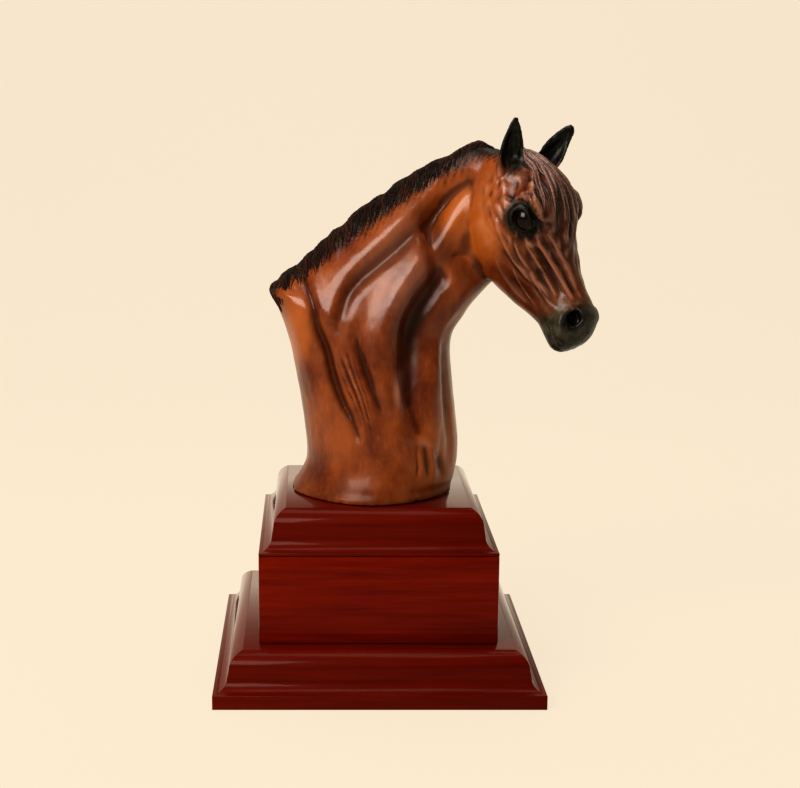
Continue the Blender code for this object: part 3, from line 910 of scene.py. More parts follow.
@dataclass
class Bust:
    """The casting: neck and head, with their carving.

    A carving is a depth, a half width and a path. A span is two values, from where a thing is
    nothing to where it is whole, in the head's axes unless its name says otherwise.
    """

    node: str = "horse_bust"
    bust_height: float = 0.2335
    grain: float = 0.00085
    most_triangles: int = 190_000
    eye: Place = (0.318, -0.088, 0.187)
    eye_radius: float = 0.064
    eye_depth: float = 0.029
    lid_length: float = 0.062
    lid_opening: float = 0.037
    lid_slant: float = math.radians(-18)
    lower_lid: float = 1.25
    nostril: tuple[float, float] = (0.850, -0.108)
    nostril_size: tuple[float, float] = (0.037, 0.036)
    nostril_depth: float = 0.034
    nostril_lean: float = 0.5
    nostril_curl: float = 6.0
    ear_fullness: float = 0.0011
    foot_edge: float = 0.0008
    bed_ridge: float = 0.0026
    bed_height: float = 0.00015
    mane_near: float = 0.0125
    mane_swell: float = 0.0075
    mane_far: float = 0.030

    HEAD_START = (-0.02, 0.06)
    HEAD_HALF = 0.36
    HEAD_EDGE = (0, 0.05)
    THROAT_EDGE = (-0.62, -0.56)
    FACING = 1.6
    BEAD_SLANT = 1.2
    BEAD_LENGTH = 0.019
    BEAD_HEIGHTS = (0.85, 0.20)
    GRAIN_START = (0.02, 0.12)
    GRAIN_END = (0.70, 0.80)
    GRAIN_EDGE = (-0.30, -0.16)
    GRAIN_EYE = (-0.03, 0.0)
    GRAIN_STRETCH = (0.15, 1.0, 1.0)
    GRAIN_SWAY = (0.010, 16)
    GRAIN_RIPPLE = (0.034, 31)
    GRAIN_HEIGHT = 0.00026
    MUZZLE_START = (0.74, 0.82)
    MUZZLE_RIPPLE = (0.0045, 19)
    MUZZLE_HEIGHT = 0.00010
    SKIN_RIPPLES = ((0.00007, 0.012, 3), (0.00002, 0.005, 5))
    LID_HALF = 0.03
    LOWER_RIM = 0.001
    RIM = (0.008, 0.005, 0.007)
    LID_FOLD = (0.005, 0.029, 0.009)
    LID_CREASE = (0.005, 0.018, 0.006)
    SOCKET_DEPTH = 0.026
    SOCKET_EDGE = (0.0, 0.010)
    NOSTRIL_EDGE = (0.25, 1.05)
    NOSTRIL_ROUND = (1.0, 2.0)
    EYE_ROUND = (0.05, 0.09)
    EAR_DOWN = (0.02, 0.10)
    EAR_OUT = (-0.10, -0.04)
    FAR_EAR_DOWN = (-0.06, 0.02)
    FAR_EAR_OUT = (-0.06, 0.0)
    FAR_EAR_SIDE = (0.02, 0.08)
    KEPT = 0.7
    MELTED = 0.9
    SOFTEN_ROUNDS = 26
    BED_ROUNDS = 50
    FILL_ROUNDS = 70
    FILL_CORE = 0.4
    BED_RIDGE_EDGE = (0.8, 1.15)
    BED_MELT_EDGE = (0.8, 1.4)
    BED_LEAN = 0.8
    BED_WANDER = 0.0010
    BED_RIPPLE = (0.010, 23)
    MANE_SWELL_AT = (0.075, 0.045)

    FILLED = (((0.176, 0.598), 0.050), ((0.230, 0.682), 0.052))
    JUGULAR = (
        (0.236, 0.692), (0.190, 0.622), (0.150, 0.565), (0.112, 0.505), (0.088, 0.440),
        (0.078, 0.370), (0.074, 0.305), (0.078, 0.245),
    )
    SHOULDER_CREASE = (
        (-0.198, 0.585), (-0.170, 0.509), (-0.160, 0.456), (-0.136, 0.398), (-0.121, 0.337),
        (-0.097, 0.267), (-0.068, 0.216), (-0.051, 0.168),
    )
    CREST_GROOVE = (
        (0.175, 0.760), (0.128, 0.725), (0.069, 0.676), (0.009, 0.626), (-0.048, 0.580),
        (-0.084, 0.538), (-0.100, 0.490), (-0.113, 0.440),
    )
    SECOND_CREASE = (
        (-0.069, 0.449), (-0.050, 0.395), (-0.030, 0.340), (-0.014, 0.295), (0.006, 0.240),
    )
    STRANDS = (
        (-0.0036, 0.0052, ((-0.121, 0.402), (-0.097, 0.340), (-0.072, 0.285), (-0.049, 0.228),
                           (-0.035, 0.162))),
        (-0.0036, 0.0052, ((-0.103, 0.395), (-0.079, 0.328), (-0.056, 0.276), (-0.038, 0.220),
                           (-0.024, 0.148))),
        (-0.0036, 0.0052, ((-0.087, 0.415), (-0.064, 0.342), (-0.044, 0.285), (-0.027, 0.228),
                           (-0.014, 0.166))),
        (-0.0030, 0.0048, ((-0.070, 0.395), (-0.050, 0.330), (-0.030, 0.275), (-0.012, 0.212))),
        (0.0036, 0.0046, ((-0.111, 0.396), (-0.087, 0.332), (-0.064, 0.280), (-0.043, 0.224),
                          (-0.030, 0.156))),
        (0.0036, 0.0046, ((-0.094, 0.402), (-0.071, 0.334), (-0.050, 0.280), (-0.030, 0.214))),
        (0.0036, 0.0046, ((-0.078, 0.402), (-0.057, 0.336), (-0.037, 0.280), (-0.018, 0.210))),
    )
    CHEST_FOLD = ((0.122, 0.150), (0.131, 0.105), (0.134, 0.060))
    CHEST_FOLD_AHEAD = ((0.150, 0.130), (0.166, 0.095), (0.178, 0.052))
    NECK_CARVING = (
        (-0.0115, 0.032, JUGULAR),
        (-0.0050, 0.013, SHOULDER_CREASE),
        (-0.0028, 0.0055, SHOULDER_CREASE),
        (-0.0045, 0.018, CREST_GROOVE),
        (-0.0045, 0.012, SECOND_CREASE),
        (0.0065, 0.034, ((0.110, 0.791), (0.062, 0.730), (0.010, 0.668), (-0.060, 0.600),
                         (-0.104, 0.520), (-0.124, 0.450))),
        (0.0080, 0.034, ((0.160, 0.660), (0.108, 0.615), (0.063, 0.560), (0.035, 0.500),
                         (0.014, 0.440), (-0.002, 0.370))),
        (0.0060, 0.011, ((0.036, 0.390), (0.046, 0.330), (0.054, 0.290), (0.060, 0.235))),
        (0.0030, 0.030, ((0.238, 0.534), (0.195, 0.460), (0.170, 0.390), (0.166, 0.310),
                         (0.172, 0.230))),
        (-0.0030, 0.030, ((0.205, 0.550), (0.175, 0.500), (0.150, 0.430), (0.140, 0.350))),
        (0.0050, 0.012, ((0.062, 0.189), (0.089, 0.170), (0.122, 0.156), (0.152, 0.146))),
        (-0.0055, 0.0085, CHEST_FOLD),
        (-0.0050, 0.0080, CHEST_FOLD_AHEAD),
        (-0.0030, 0.0065, ((0.100, 0.140), (0.104, 0.095), (0.100, 0.060))),
        (0.0030, 0.0065, ((0.111, 0.145), (0.118, 0.100), (0.117, 0.065))),
        (0.0030, 0.0065, ((0.140, 0.140), (0.149, 0.100), (0.156, 0.062))),
    )
    HEAD_CARVING = (
        (0.014, 0.016, ((0.250, -0.200), (0.340, -0.222), (0.420, -0.232), (0.500, -0.228),
                        (0.580, -0.220))),
        (0.013, 0.009, ((0.400, -0.080), (0.499, -0.092), (0.598, -0.093), (0.698, -0.088),
                        (0.760, -0.080))),
        (0.011, 0.008, ((0.420, -0.140), (0.526, -0.148), (0.625, -0.149), (0.714, -0.142))),
        (0.010, 0.008, ((0.400, -0.030), (0.514, -0.041), (0.611, -0.048), (0.715, -0.056))),
        (-0.009, 0.008, ((0.440, -0.112), (0.540, -0.120), (0.640, -0.120), (0.720, -0.114))),
        (-0.008, 0.007, ((0.400, -0.056), (0.510, -0.066), (0.610, -0.070), (0.700, -0.072))),
        (-0.008, 0.008, ((0.370, -0.165), (0.420, -0.195), (0.480, -0.204), (0.560, -0.196))),
        (0.006, 0.007, ((0.560, -0.190), (0.640, -0.200), (0.720, -0.190), (0.780, -0.165))),
        (0.005, 0.006, ((0.500, -0.270), (0.600, -0.290), (0.700, -0.275))),
        (0.006, 0.010, ((0.420, -0.330), (0.500, -0.350), (0.600, -0.340), (0.680, -0.310))),
        (-0.009, 0.007, ((0.975, -0.250), (0.930, -0.268), (0.870, -0.260), (0.825, -0.244))),
        (0.012, 0.012, ((0.815, -0.085), (0.845, -0.066), (0.880, -0.076), (0.900, -0.105))),
        (0.008, 0.010, ((0.800, -0.100), (0.815, -0.140), (0.850, -0.165), (0.890, -0.160))),
        (0.010, 0.012, ((0.185, 0.010), (0.225, 0.028), (0.275, 0.030))),
        (-0.008, 0.008, ((0.205, -0.004), (0.245, 0.006), (0.290, 0.006))),
    )
    def __post_init__(self) -> None:
        """Finds the bust's foot and its head's axes."""
        low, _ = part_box(self.node)
        self.head = HeadAxes(self.bust_height, low.z)
        self.crest = Crest(self.head)

    def fine_copy(self) -> Piece:
        """A finer copy of the casting's solid, its facets rounded off.

        Returns:
            The new object.
        """
        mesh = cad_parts[self.node].data.copy()
        merged = bmesh.new()
        merged.from_mesh(mesh)
        bmesh.ops.remove_doubles(merged, verts=merged.verts, dist=1e-6)
        merged.to_mesh(mesh)
        merged.free()
        piece = new_object("horse_bust_skin", mesh)
        modified(piece, "rounder", "SUBSURF", levels=1, render_levels=1)
        modified(piece, "melt", "REMESH", mode="VOXEL", voxel_size=self.grain)
        return piece

    def marks(self, skin: Skin) -> Marks:
        """Where a skin's points lie on the bust."""
        own = self.head.own(skin.points)
        return Marks(skin, own, self.head.shares(skin.points), self.head_mask(own))

    def lid_shape(self, own: np.ndarray) -> np.ndarray:
        """How far places are from the edge of the eye's opening; minus is inside it.

        Args:
            own: Places in the head's own axes.

        Returns:
            The distances, in shares of the head's length.
        """
        aside = own[:, :2] - self.eye[:2]
        along_lid = math.cos(self.lid_slant) * aside[:, 0] + math.sin(self.lid_slant) * aside[:, 1]
        over_lid = math.cos(self.lid_slant) * aside[:, 1] - math.sin(self.lid_slant) * aside[:, 0]
        opening = np.where(over_lid > 0, self.lid_opening, self.lower_lid * self.lid_opening)
        reach = np.hypot(along_lid / self.lid_length, over_lid / opening)
        return (reach - 1) * self.lid_opening

    def head_mask(self, own: np.ndarray) -> np.ndarray:
        """How far places belong to the head, from 0 to 1."""
        beside = eased(self.HEAD_HALF - np.abs(own[:, 2]), *self.HEAD_EDGE)
        return eased(own[:, 0], *self.HEAD_START) * beside * eased(own[:, 1], *self.THROAT_EDGE)

    def nostril_reach(self, own: np.ndarray) -> np.ndarray:
        """How far places are from the middle of the nostril, which is a slanted comma."""
        aside = own[:, :2] - self.nostril
        slant = aside[:, 0] + self.nostril_lean * aside[:, 1]
        curl = aside[:, 1] - self.nostril_curl * slant**2
        return np.hypot(slant / self.nostril_size[0], curl / self.nostril_size[1])

    def fibres(self, shares: np.ndarray) -> np.ndarray:
        """Fine muscle strands on the lower neck, between the two creases.

        Args:
            shares: Places in shares of the bust's height.

        Returns:
            Heights, in shares of it too.
        """
        turn = (self.BEAD_SLANT * shares[:, 0] + shares[:, 2]) * 2 * np.pi / self.BEAD_LENGTH
        beads = self.BEAD_HEIGHTS[0] + self.BEAD_HEIGHTS[1] * np.sin(turn)
        return beads * carved(shares[:, [0, 2]], self.STRANDS)

    def face_grain(self, own: np.ndarray) -> tuple[np.ndarray, np.ndarray]:
        """The long fine veins and hair that run down the face.

        Args:
            own: Places in the head's own axes.

        Returns:
            Heights from about -2 to 2, and how far each place belongs to the face.
        """
        zone = eased(own[:, 0], *self.GRAIN_START) * (1 - eased(own[:, 0], *self.GRAIN_END))
        clear = 1 - eased(-self.lid_shape(own), *self.GRAIN_EYE)
        zone = zone * eased(own[:, 1], *self.GRAIN_EDGE) * clear
        waved = own * self.GRAIN_STRETCH
        waved[:, 1] += self.GRAIN_SWAY[0] * np.sin(self.GRAIN_SWAY[1] * own[:, 0])
        return ripple(waved, *self.GRAIN_RIPPLE), zone

    def lids(self, own: np.ndarray) -> np.ndarray:
        """The eyelids' rim, fold and crease round the socket.

        Args:
            own: Places in the head's own axes.

        Returns:
            Heights, in shares of the head's length.
        """
        edge = self.lid_shape(own)
        upper = eased(own[:, 1], self.eye[1] - self.LID_HALF, self.eye[1] + self.LID_HALF)
        rise, away, half_width = self.RIM
        height = (self.LOWER_RIM + rise * upper) * bump_of(edge - away, half_width)
        rise, away, half_width = self.LID_FOLD
        height += rise * upper * bump_of(edge - away, half_width)
        height -= self.SOCKET_DEPTH * eased(-edge, *self.SOCKET_EDGE)
        depth, away, half_width = self.LID_CREASE
        return height - depth * upper * bump_of(edge - away, half_width)

    def relief(self, skin: Skin) -> np.ndarray:
        """The fine carving's height at each point of the skin.

        Args:
            skin: The skin.

        Returns:
            Heights along the normals, in metres.
        """
        normals = skin.normals()
        marks = self.marks(skin)
        own = marks.own
        side = np.clip(np.abs(normals[:, 1]) * self.FACING, 0, 1) * (1 - marks.on_head)
        carving = carved(marks.side_view, self.NECK_CARVING) + self.fibres(marks.shares)
        height = side * carving * self.bust_height
        cheek = np.abs(normals @ self.head.axes[2]) * self.FACING
        cheek = np.clip(cheek, 0, 1) * marks.on_head
        height += cheek * carved(marks.face_view, self.HEAD_CARVING) * self.head.size
        height += cheek * self.lids(own) * self.head.size
        grain, face = self.face_grain(own)
        height += self.GRAIN_HEIGHT * grain * face * marks.on_head
        muzzle = eased(own[:, 0], *self.MUZZLE_START) * marks.on_head
        height += self.MUZZLE_HEIGHT * muzzle * ripple(skin.points, *self.MUZZLE_RIPPLE)
        hole = 1 - eased(self.nostril_reach(own), *self.NOSTRIL_EDGE)
        height -= cheek * self.nostril_depth * hole * self.head.size
        slow, fine = (rise * ripple(skin.points, *waves) for rise, *waves in self.SKIN_RIPPLES)
        height += slow + fine
        return height + self.hair_bed(skin)

    def mane_reach(self, run: np.ndarray, aside: np.ndarray) -> np.ndarray:
        """How far the mane's bed reaches from the crest, wider in the middle of the neck.

        Args:
            run: Distances along the crest from the withers.
            aside: Distances across it, plus on the near side.

        Returns:
            The reach at each point, in metres.
        """
        middle, half_width = self.MANE_SWELL_AT
        near = self.mane_near + self.mane_swell * bump_of(run - middle, half_width)
        return np.where(aside > 0, near, self.mane_far)

    def bed_share(self, points: np.ndarray, span: Span) -> np.ndarray:
        """How far points belong to the mane's bed.

        Args:
            points: Points in metres.
            span: Where the bed starts to end and where it has ended, in shares of its reach.

        Returns:
            Shares from 0 to 1.
        """
        away, run, aside = self.crest.nearest(points)
        return 1 - eased(away / self.mane_reach(run, aside), *span)

    def hair_bed(self, skin: Skin) -> np.ndarray:
        """Fine ridges in the skin under the mane.

        Args:
            skin: The skin.

        Returns:
            Heights along the normals, in metres.
        """
        away, run, aside = self.crest.nearest(skin.points)
        zone = 1 - eased(away / self.mane_reach(run, aside), *self.BED_RIDGE_EDGE)
        lean = run + self.BED_LEAN * away + self.BED_WANDER * ripple(skin.points, *self.BED_RIPPLE)
        return zone * self.bed_height * np.sin(2 * np.pi * lean / self.bed_ridge)

    def sculpt(self, piece: Piece) -> None:
        """Softens the facets and presses in the fine carving.

        Args:
            piece: The fine copy.
        """
        skin = Skin(piece)
        own = self.head.own(skin.points)
        on_ear = 1 - eased(own[:, 0], *self.EAR_DOWN)
        on_ear *= eased(own[:, 1], *self.EAR_OUT)
        eye_away = np.linalg.norm(own[:, :2] - self.eye[:2], axis=1)
        near_eye = 1 - eased(eye_away, *self.EYE_ROUND)
        near_nostril = 1 - eased(self.nostril_reach(own), *self.NOSTRIL_ROUND)
        keep = np.maximum.reduce([on_ear, near_eye, near_nostril])
        weight = 1 - self.KEPT * np.clip(keep, 0, 1)
        low = skin.points[:, 2] < self.head.foot_level + self.foot_edge
        weight[low] = 0
        skin.soften(self.SOFTEN_ROUNDS, weight)
        bed = self.bed_share(skin.points, self.BED_MELT_EDGE)
        skin.melt(self.BED_ROUNDS, self.MELTED * bed * (1 - on_ear))
        side_view = self.head.shares(skin.points)[:, [0, 2]]
        for place, reach in self.FILLED:
            away = np.linalg.norm(side_view - place, axis=1)
            knob = 1 - eased(away, self.FILL_CORE * reach, reach)
            skin.melt(self.FILL_ROUNDS, self.MELTED * knob)
        height = self.relief(skin) * (1 - low)
        far_ear = 1 - eased(own[:, 0], *self.FAR_EAR_DOWN)
        far_ear *= eased(own[:, 1], *self.FAR_EAR_OUT)
        height += self.ear_fullness * far_ear * eased(-own[:, 2], *self.FAR_EAR_SIDE)
        skin.points += height[:, None] * skin.normals()
        skin.points[:, 2] = np.maximum(skin.points[:, 2], self.head.foot_level)
        skin.write()

    def thin(self, piece: Piece) -> None:
        """Keeps as many faces as the limit allows, where the form needs them most.

        Args:
            piece: The sculpted skin.
        """
        triangles = triangle_count(piece)
        if triangles > self.most_triangles:
            modified(piece, "fewer", "DECIMATE", ratio=self.most_triangles / triangles)

    def build(self, finish: BayLacquer) -> Piece:
        """Makes the skin and dresses it.

        Args:
            finish: The paint and lacquer.

        Returns:
            The finished piece.
        """
        piece = self.fine_copy()
        self.sculpt(piece)
        self.thin(piece)
        BustPaint(self).apply(piece)
        piece.data.shade_smooth()
        finish_piece(piece, finish.material(), [self.node])
        return piece


@dataclass
class BustPaint:
    """The masks of the bust's paint, written on its skin.

    A share says how strong a mask is, and a span is two values, from where it is nothing to
    where it is whole. A ripple is a wavelength and the seed of its pattern.
    """

    bust: Bust

    WOBBLE = ((0.006, 11), (0.0025, 12))
    MOTTLE = (0.46, 0.16, 0.22)
    MOTTLE_RIPPLE = (0.009, 17)
    OLIVE_START = (0.70, 0.80)
    OLIVE_END = (0.90, 0.98)
    OLIVE_HOLE = (1.1, 2.0)
    MATT_FOOT = 0.75
    MATT_FOOT_LEVELS = (0.03, 0.11)
    MATT_EYE = 0.7
    MATT_LIDS = (0.03, 0.05)
    # painted highlights on the face's grain, on its ridges and on the tops of the muscle strands
    FACE_HIGHLIGHT = 0.70
    HIGHLIGHT_GRAIN = (0.25, 1.5)
    RIDGE_HIGHLIGHT = 0.45
    RIDGE_ROUNDS = 12
    HIGHLIGHT_RIDGES = (0.00004, 0.00022)
    HIGHLIGHT_EDGE = (-0.40, -0.25)
    STRAND_HIGHLIGHT = 0.40
    STRAND_TOPS = (0.0006, 0.0034)
    STRAND_GAPS = (0.0004, 0.0034)
    BLACK_MUZZLE = (0.735, 0.815)
    MUZZLE_SLANT = 0.10
    MUZZLE_OUT = 0.2
    MUZZLE_WOBBLE = 0.022
    EYE_WOBBLE = 0.014
    EAR_WOBBLE = 0.015
    EYE_SHARE = 0.97
    MANE_SHARE = 0.94
    FOREHEAD_SHARE = 0.5
    LINES_SHARE = 0.50
    GRAIN_SHARE = 0.70
    EYE_OVAL = (0.8, 0.95)
    BLACK_EYE = (0.062, 0.104)
    BLACK_EAR_DOWN = (0.060, 0.115)
    BLACK_EAR_OUT = (-0.13, -0.07)
    BLACK_EAR_SIDE = (0.04, 0.08)
    BLACK_MANE = (0.60, 1.20)
    BLACK_GRAIN = (0.2, 1.4)
    TIP_LEAN = 1.2
    TIP_WIDTH = 0.0052
    TIP_REACH = 0.12
    FOREHEAD_END = (0.38, 0.66)
    FOREHEAD_EDGE = (-0.08, -0.01)
    FOREHEAD_STREAKS = (0.0, 0.7)
    FOREHEAD_WAVES = (95, 3, 16, 2)
    CHEEK = (0.29, -0.35)
    CHEEK_OVAL = (1.0, 0.9)
    CHEEK_EDGE = (0.07, 0.19)
    CHEEK_WOBBLE = 0.01
    # painted highlights on the cheek, throat and back of the shoulder; the chest's tan is its own colour
    CHEEK_HIGHLIGHT = 0.75
    THROAT = (0.235, 0.760)
    THROAT_SPAN = (0.02, 0.12)
    THROAT_HIGHLIGHT = 0.55
    SHOULDER = (-0.215, 0.450)
    SHOULDER_SIZE = (0.05, 0.13)
    SHOULDER_EDGE = (0.4, 1.1)
    SHOULDER_HIGHLIGHT = 0.5
    CHEST_AHEAD = (0.08, 0.15)
    CHEST_LEVELS = (0.16, 0.28)
    TAN_CHEST = 0.45
    BEHIND_JAW = ((-0.545, 0.05), (0.22, 0.25))
    SHADED_HOLLOWS = ((0.7, 10, (0.00006, 0.00022)), (0.75, 60, (0.00015, 0.0007)))
    SHADED_STRANDS = 0.5
    SHADED_FOOT = 0.20
    SHADED_FOOT_LEVELS = (0.03, 0.13)
    SHADED_JAW = 0.5
    UMBER_FACE = (0.34, 0.56)
    UMBER_SLANT = 0.8
    UMBER_OUT = 0.30
    UMBER_WOBBLE = 0.03
    UMBER_AHEAD = (0.10, 0.20)
    UMBER_LEVELS = (0.30, 0.55)
    FACE_UMBER = 0.80
    CHEST_UMBER = 0.08
    BED_MATT_EDGE = (0.9, 1.4)

    # Painted highlights along the ridges and broad muscle bands of the neck: strength, half width and
    # path.
    HIGHLIGHT_BANDS = (
        (0.60, 0.012, ((0.056, 0.350), (0.052, 0.311), (0.052, 0.278), (0.058, 0.246))),
        (0.35, 0.010, ((0.104, 0.165), (0.122, 0.158), (0.150, 0.145))),
        (0.30, 0.030, ((0.110, 0.770), (0.062, 0.715), (0.010, 0.655), (-0.060, 0.590))),
        (0.35, 0.034, ((0.150, 0.650), (0.108, 0.605), (0.063, 0.550), (0.035, 0.490))),
    )
    FACE_STREAKS = (
        (1.0, 0.012, ((0.080, 0.000), (0.158, -0.029), (0.236, -0.017), (0.270, -0.010))),
        (1.0, 0.012, ((0.060, 0.030), (0.140, 0.040), (0.232, 0.049), (0.341, 0.032),
                      (0.447, -0.002), (0.560, -0.020))),
        (0.9, 0.010, ((0.360, -0.150), (0.400, -0.185), (0.440, -0.205), (0.500, -0.200))),
        (0.9, 0.010, ((0.380, -0.060), (0.480, -0.066), (0.600, -0.070), (0.700, -0.072))),
        (0.9, 0.009, ((0.420, -0.112), (0.540, -0.120), (0.640, -0.120), (0.740, -0.112))),
        (0.7, 0.010, ((0.440, -0.170), (0.560, -0.172), (0.660, -0.172), (0.760, -0.160))),
        (0.6, 0.010, ((0.420, -0.018), (0.520, -0.026), (0.640, -0.034), (0.740, -0.044))),
    )

    def apply(self, piece: Piece) -> None:
        """Writes the two attributes that the lacquer reads.

        paint holds black, tan with its painted highlights, painted shade and umber, and detail holds
        painted highlights, olive and matt.

        Args:
            piece: The thinned skin.
        """
        bust = self.bust
        marks = bust.marks(Skin(piece))
        points = marks.skin.points
        wobble = 0.5 * ripple(points, *self.WOBBLE[0]) + 0.5 * ripple(points, *self.WOBBLE[1])
        black = self.black_paint(marks, wobble)
        tan = self.tan_and_highlight_paint(marks, wobble)
        shade = self.shade_paint(marks)
        umber = self.umber_paint(marks, wobble)
        painted_highlight = self.painted_highlights(marks)
        olive = self.olive_paint(marks, wobble)
        matt = self.matt_paint(marks)
        for name, masks in (
            ("paint", (black, tan, shade, umber)), ("detail", (painted_highlight, olive, matt, np.ones_like(matt)))
        ):
            layer = piece.data.color_attributes.new(name, "FLOAT_COLOR", "POINT")
            colours = np.clip(np.stack(masks, axis=1), 0, 1)
            layer.data.foreach_set("color", colours.astype(np.float32).ravel())

    def olive_paint(self, marks: Marks, wobble: np.ndarray) -> np.ndarray:
        """The mottled olive of the muzzle, round the nostrils.

        Args:
            marks: Where the skin's points lie.
            wobble: A random unevenness.

        Returns:
            How much olive each point has.
        """
        bust = self.bust
        base, slow, fine = self.MOTTLE
        mottled = base + slow * ripple(marks.skin.points, *self.MOTTLE_RIPPLE) + fine * wobble
        down = marks.own[:, 0]
        olive = mottled * eased(down, *self.OLIVE_START) * (1 - eased(down, *self.OLIVE_END))
        return olive * (eased(bust.nostril_reach(marks.own), *self.OLIVE_HOLE) * marks.on_head)

    def matt_paint(self, marks: Marks) -> np.ndarray:
        """Where the lacquer is thin: under the mane, at the foot and round the eyes.

        Args:
            marks: Where the skin's points lie.

        Returns:
            How matt each point is.
        """
        bust = self.bust
        bed = bust.bed_share(marks.skin.points, self.BED_MATT_EDGE)
        foot = self.MATT_FOOT * (1 - eased(marks.shares[:, 2], *self.MATT_FOOT_LEVELS))
        lids = 1 - eased(np.abs(bust.lid_shape(marks.own)), *self.MATT_LIDS)
        return np.maximum.reduce([bed, foot, self.MATT_EYE * marks.on_head * lids])

    def painted_highlights(self, marks: Marks) -> np.ndarray:
        """The painted highlights: a pale pink laid where light catches the ridges of the face, its long
        grain, the tops of the muscle strands and the neck's muscle bands.

        Args:
            marks: Where the skin's points lie.

        Returns:
            How much dust each point has.
        """
        bust = self.bust
        grain, face = bust.face_grain(marks.own)
        streaks = self.FACE_HIGHLIGHT * face * marks.on_head * eased(grain, *self.HIGHLIGHT_GRAIN)
        high = eased(-marks.skin.hollows(self.RIDGE_ROUNDS), *self.HIGHLIGHT_RIDGES)
        ridges = self.RIDGE_HIGHLIGHT * marks.on_head * high
        ridges *= eased(marks.own[:, 1], *self.HIGHLIGHT_EDGE)
        strands = self.STRAND_HIGHLIGHT * eased(bust.fibres(marks.shares), *self.STRAND_TOPS)
        # painted highlights along the neck's ridges and muscle bands
        lit_bands = carved(marks.side_view, self.HIGHLIGHT_BANDS) * (1 - marks.on_head)
        return np.maximum.reduce([streaks, ridges, strands, lit_bands])

    def black_paint(self, marks: Marks, wobble: np.ndarray) -> np.ndarray:
        """The black points: muzzle, eye surround, ears, mane, forelock and face streaks.

        Args:
            marks: Where the skin's points lie.
            wobble: A random unevenness.

        Returns:
            How much black each point has.
        """
        bust = self.bust
        own = marks.own
        on_head = marks.on_head
        slanted = self.MUZZLE_SLANT * (own[:, 1] + self.MUZZLE_OUT)
        muzzle = eased(own[:, 0] + self.MUZZLE_WOBBLE * wobble - slanted, *self.BLACK_MUZZLE)
        around = np.linalg.norm((own[:, :2] - bust.eye[:2]) * self.EYE_OVAL, axis=1)
        eye = 1 - eased(around + self.EYE_WOBBLE * wobble, *self.BLACK_EYE)
        ears = 1 - eased(own[:, 0] + self.EAR_WOBBLE * wobble, *self.BLACK_EAR_DOWN)
        ears *= eased(own[:, 1], *self.BLACK_EAR_OUT) * eased(np.abs(own[:, 2]), *self.BLACK_EAR_SIDE)
        away, run, aside = bust.crest.nearest(marks.skin.points)
        reach = bust.mane_reach(run, aside)
        tips = np.sin(2 * np.pi * (run + self.TIP_LEAN * away) / self.TIP_WIDTH) + wobble
        mane = 1 - eased(away / reach + self.TIP_REACH * tips, *self.BLACK_MANE)
        across, swing, along_face, rough = self.FOREHEAD_WAVES
        swung = swing * np.sin(own[:, 0] * along_face)
        streak = np.sin(own[:, 2] * across + swung + rough * wobble)
        forehead = (1 - eased(own[:, 0], *self.FOREHEAD_END)) * eased(own[:, 1], *self.FOREHEAD_EDGE)
        forehead *= eased(streak, *self.FOREHEAD_STREAKS)
        lines = carved(marks.face_view, self.FACE_STREAKS)
        grain, face = bust.face_grain(own)
        return np.maximum.reduce([
            muzzle * on_head, self.EYE_SHARE * eye * on_head, ears, self.MANE_SHARE * mane,
            self.FOREHEAD_SHARE * forehead * on_head, self.LINES_SHARE * lines * on_head,
            self.GRAIN_SHARE * face * on_head * eased(-grain, *self.BLACK_GRAIN),
        ])

    def tan_and_highlight_paint(self, marks: Marks, wobble: np.ndarray) -> np.ndarray:
        """The tan: a painted highlight on the cheek, the throat and the back of the shoulder, where the
        light falls, and the chest's own warmer tan.

        Args:
            marks: Where the skin's points lie.
            wobble: A random unevenness.

        Returns:
            How much tan each point has.
        """
        shares = marks.shares
        cheek = np.linalg.norm((marks.face_view - self.CHEEK) * self.CHEEK_OVAL, axis=1)
        cheek = 1 - eased(cheek + self.CHEEK_WOBBLE * wobble, *self.CHEEK_EDGE)
        throat = np.linalg.norm(marks.side_view - self.THROAT, axis=1)
        back, level = self.SHOULDER
        shoulder = np.hypot(
            (shares[:, 0] - back) / self.SHOULDER_SIZE[0], (shares[:, 2] - level) / self.SHOULDER_SIZE[1]
        )
        chest = eased(shares[:, 0], *self.CHEST_AHEAD)
        chest *= 1 - eased(shares[:, 2], *self.CHEST_LEVELS)
        return np.maximum.reduce([
            marks.on_head * cheek * self.CHEEK_HIGHLIGHT,
            self.THROAT_HIGHLIGHT * (1 - eased(throat, *self.THROAT_SPAN)),
            self.SHOULDER_HIGHLIGHT * (1 - eased(shoulder, *self.SHOULDER_EDGE)),
            self.TAN_CHEST * chest,
        ])

    def shade_paint(self, marks: Marks) -> np.ndarray:
        """The painted shade: darker in grooves, creases and hollows, between the muscle strands, behind
        the jaw and at the foot.

        Args:
            marks: Where the skin's points lie.

        Returns:
            How much shade each point has.
        """
        bust = self.bust
        down, out = marks.face_view.T
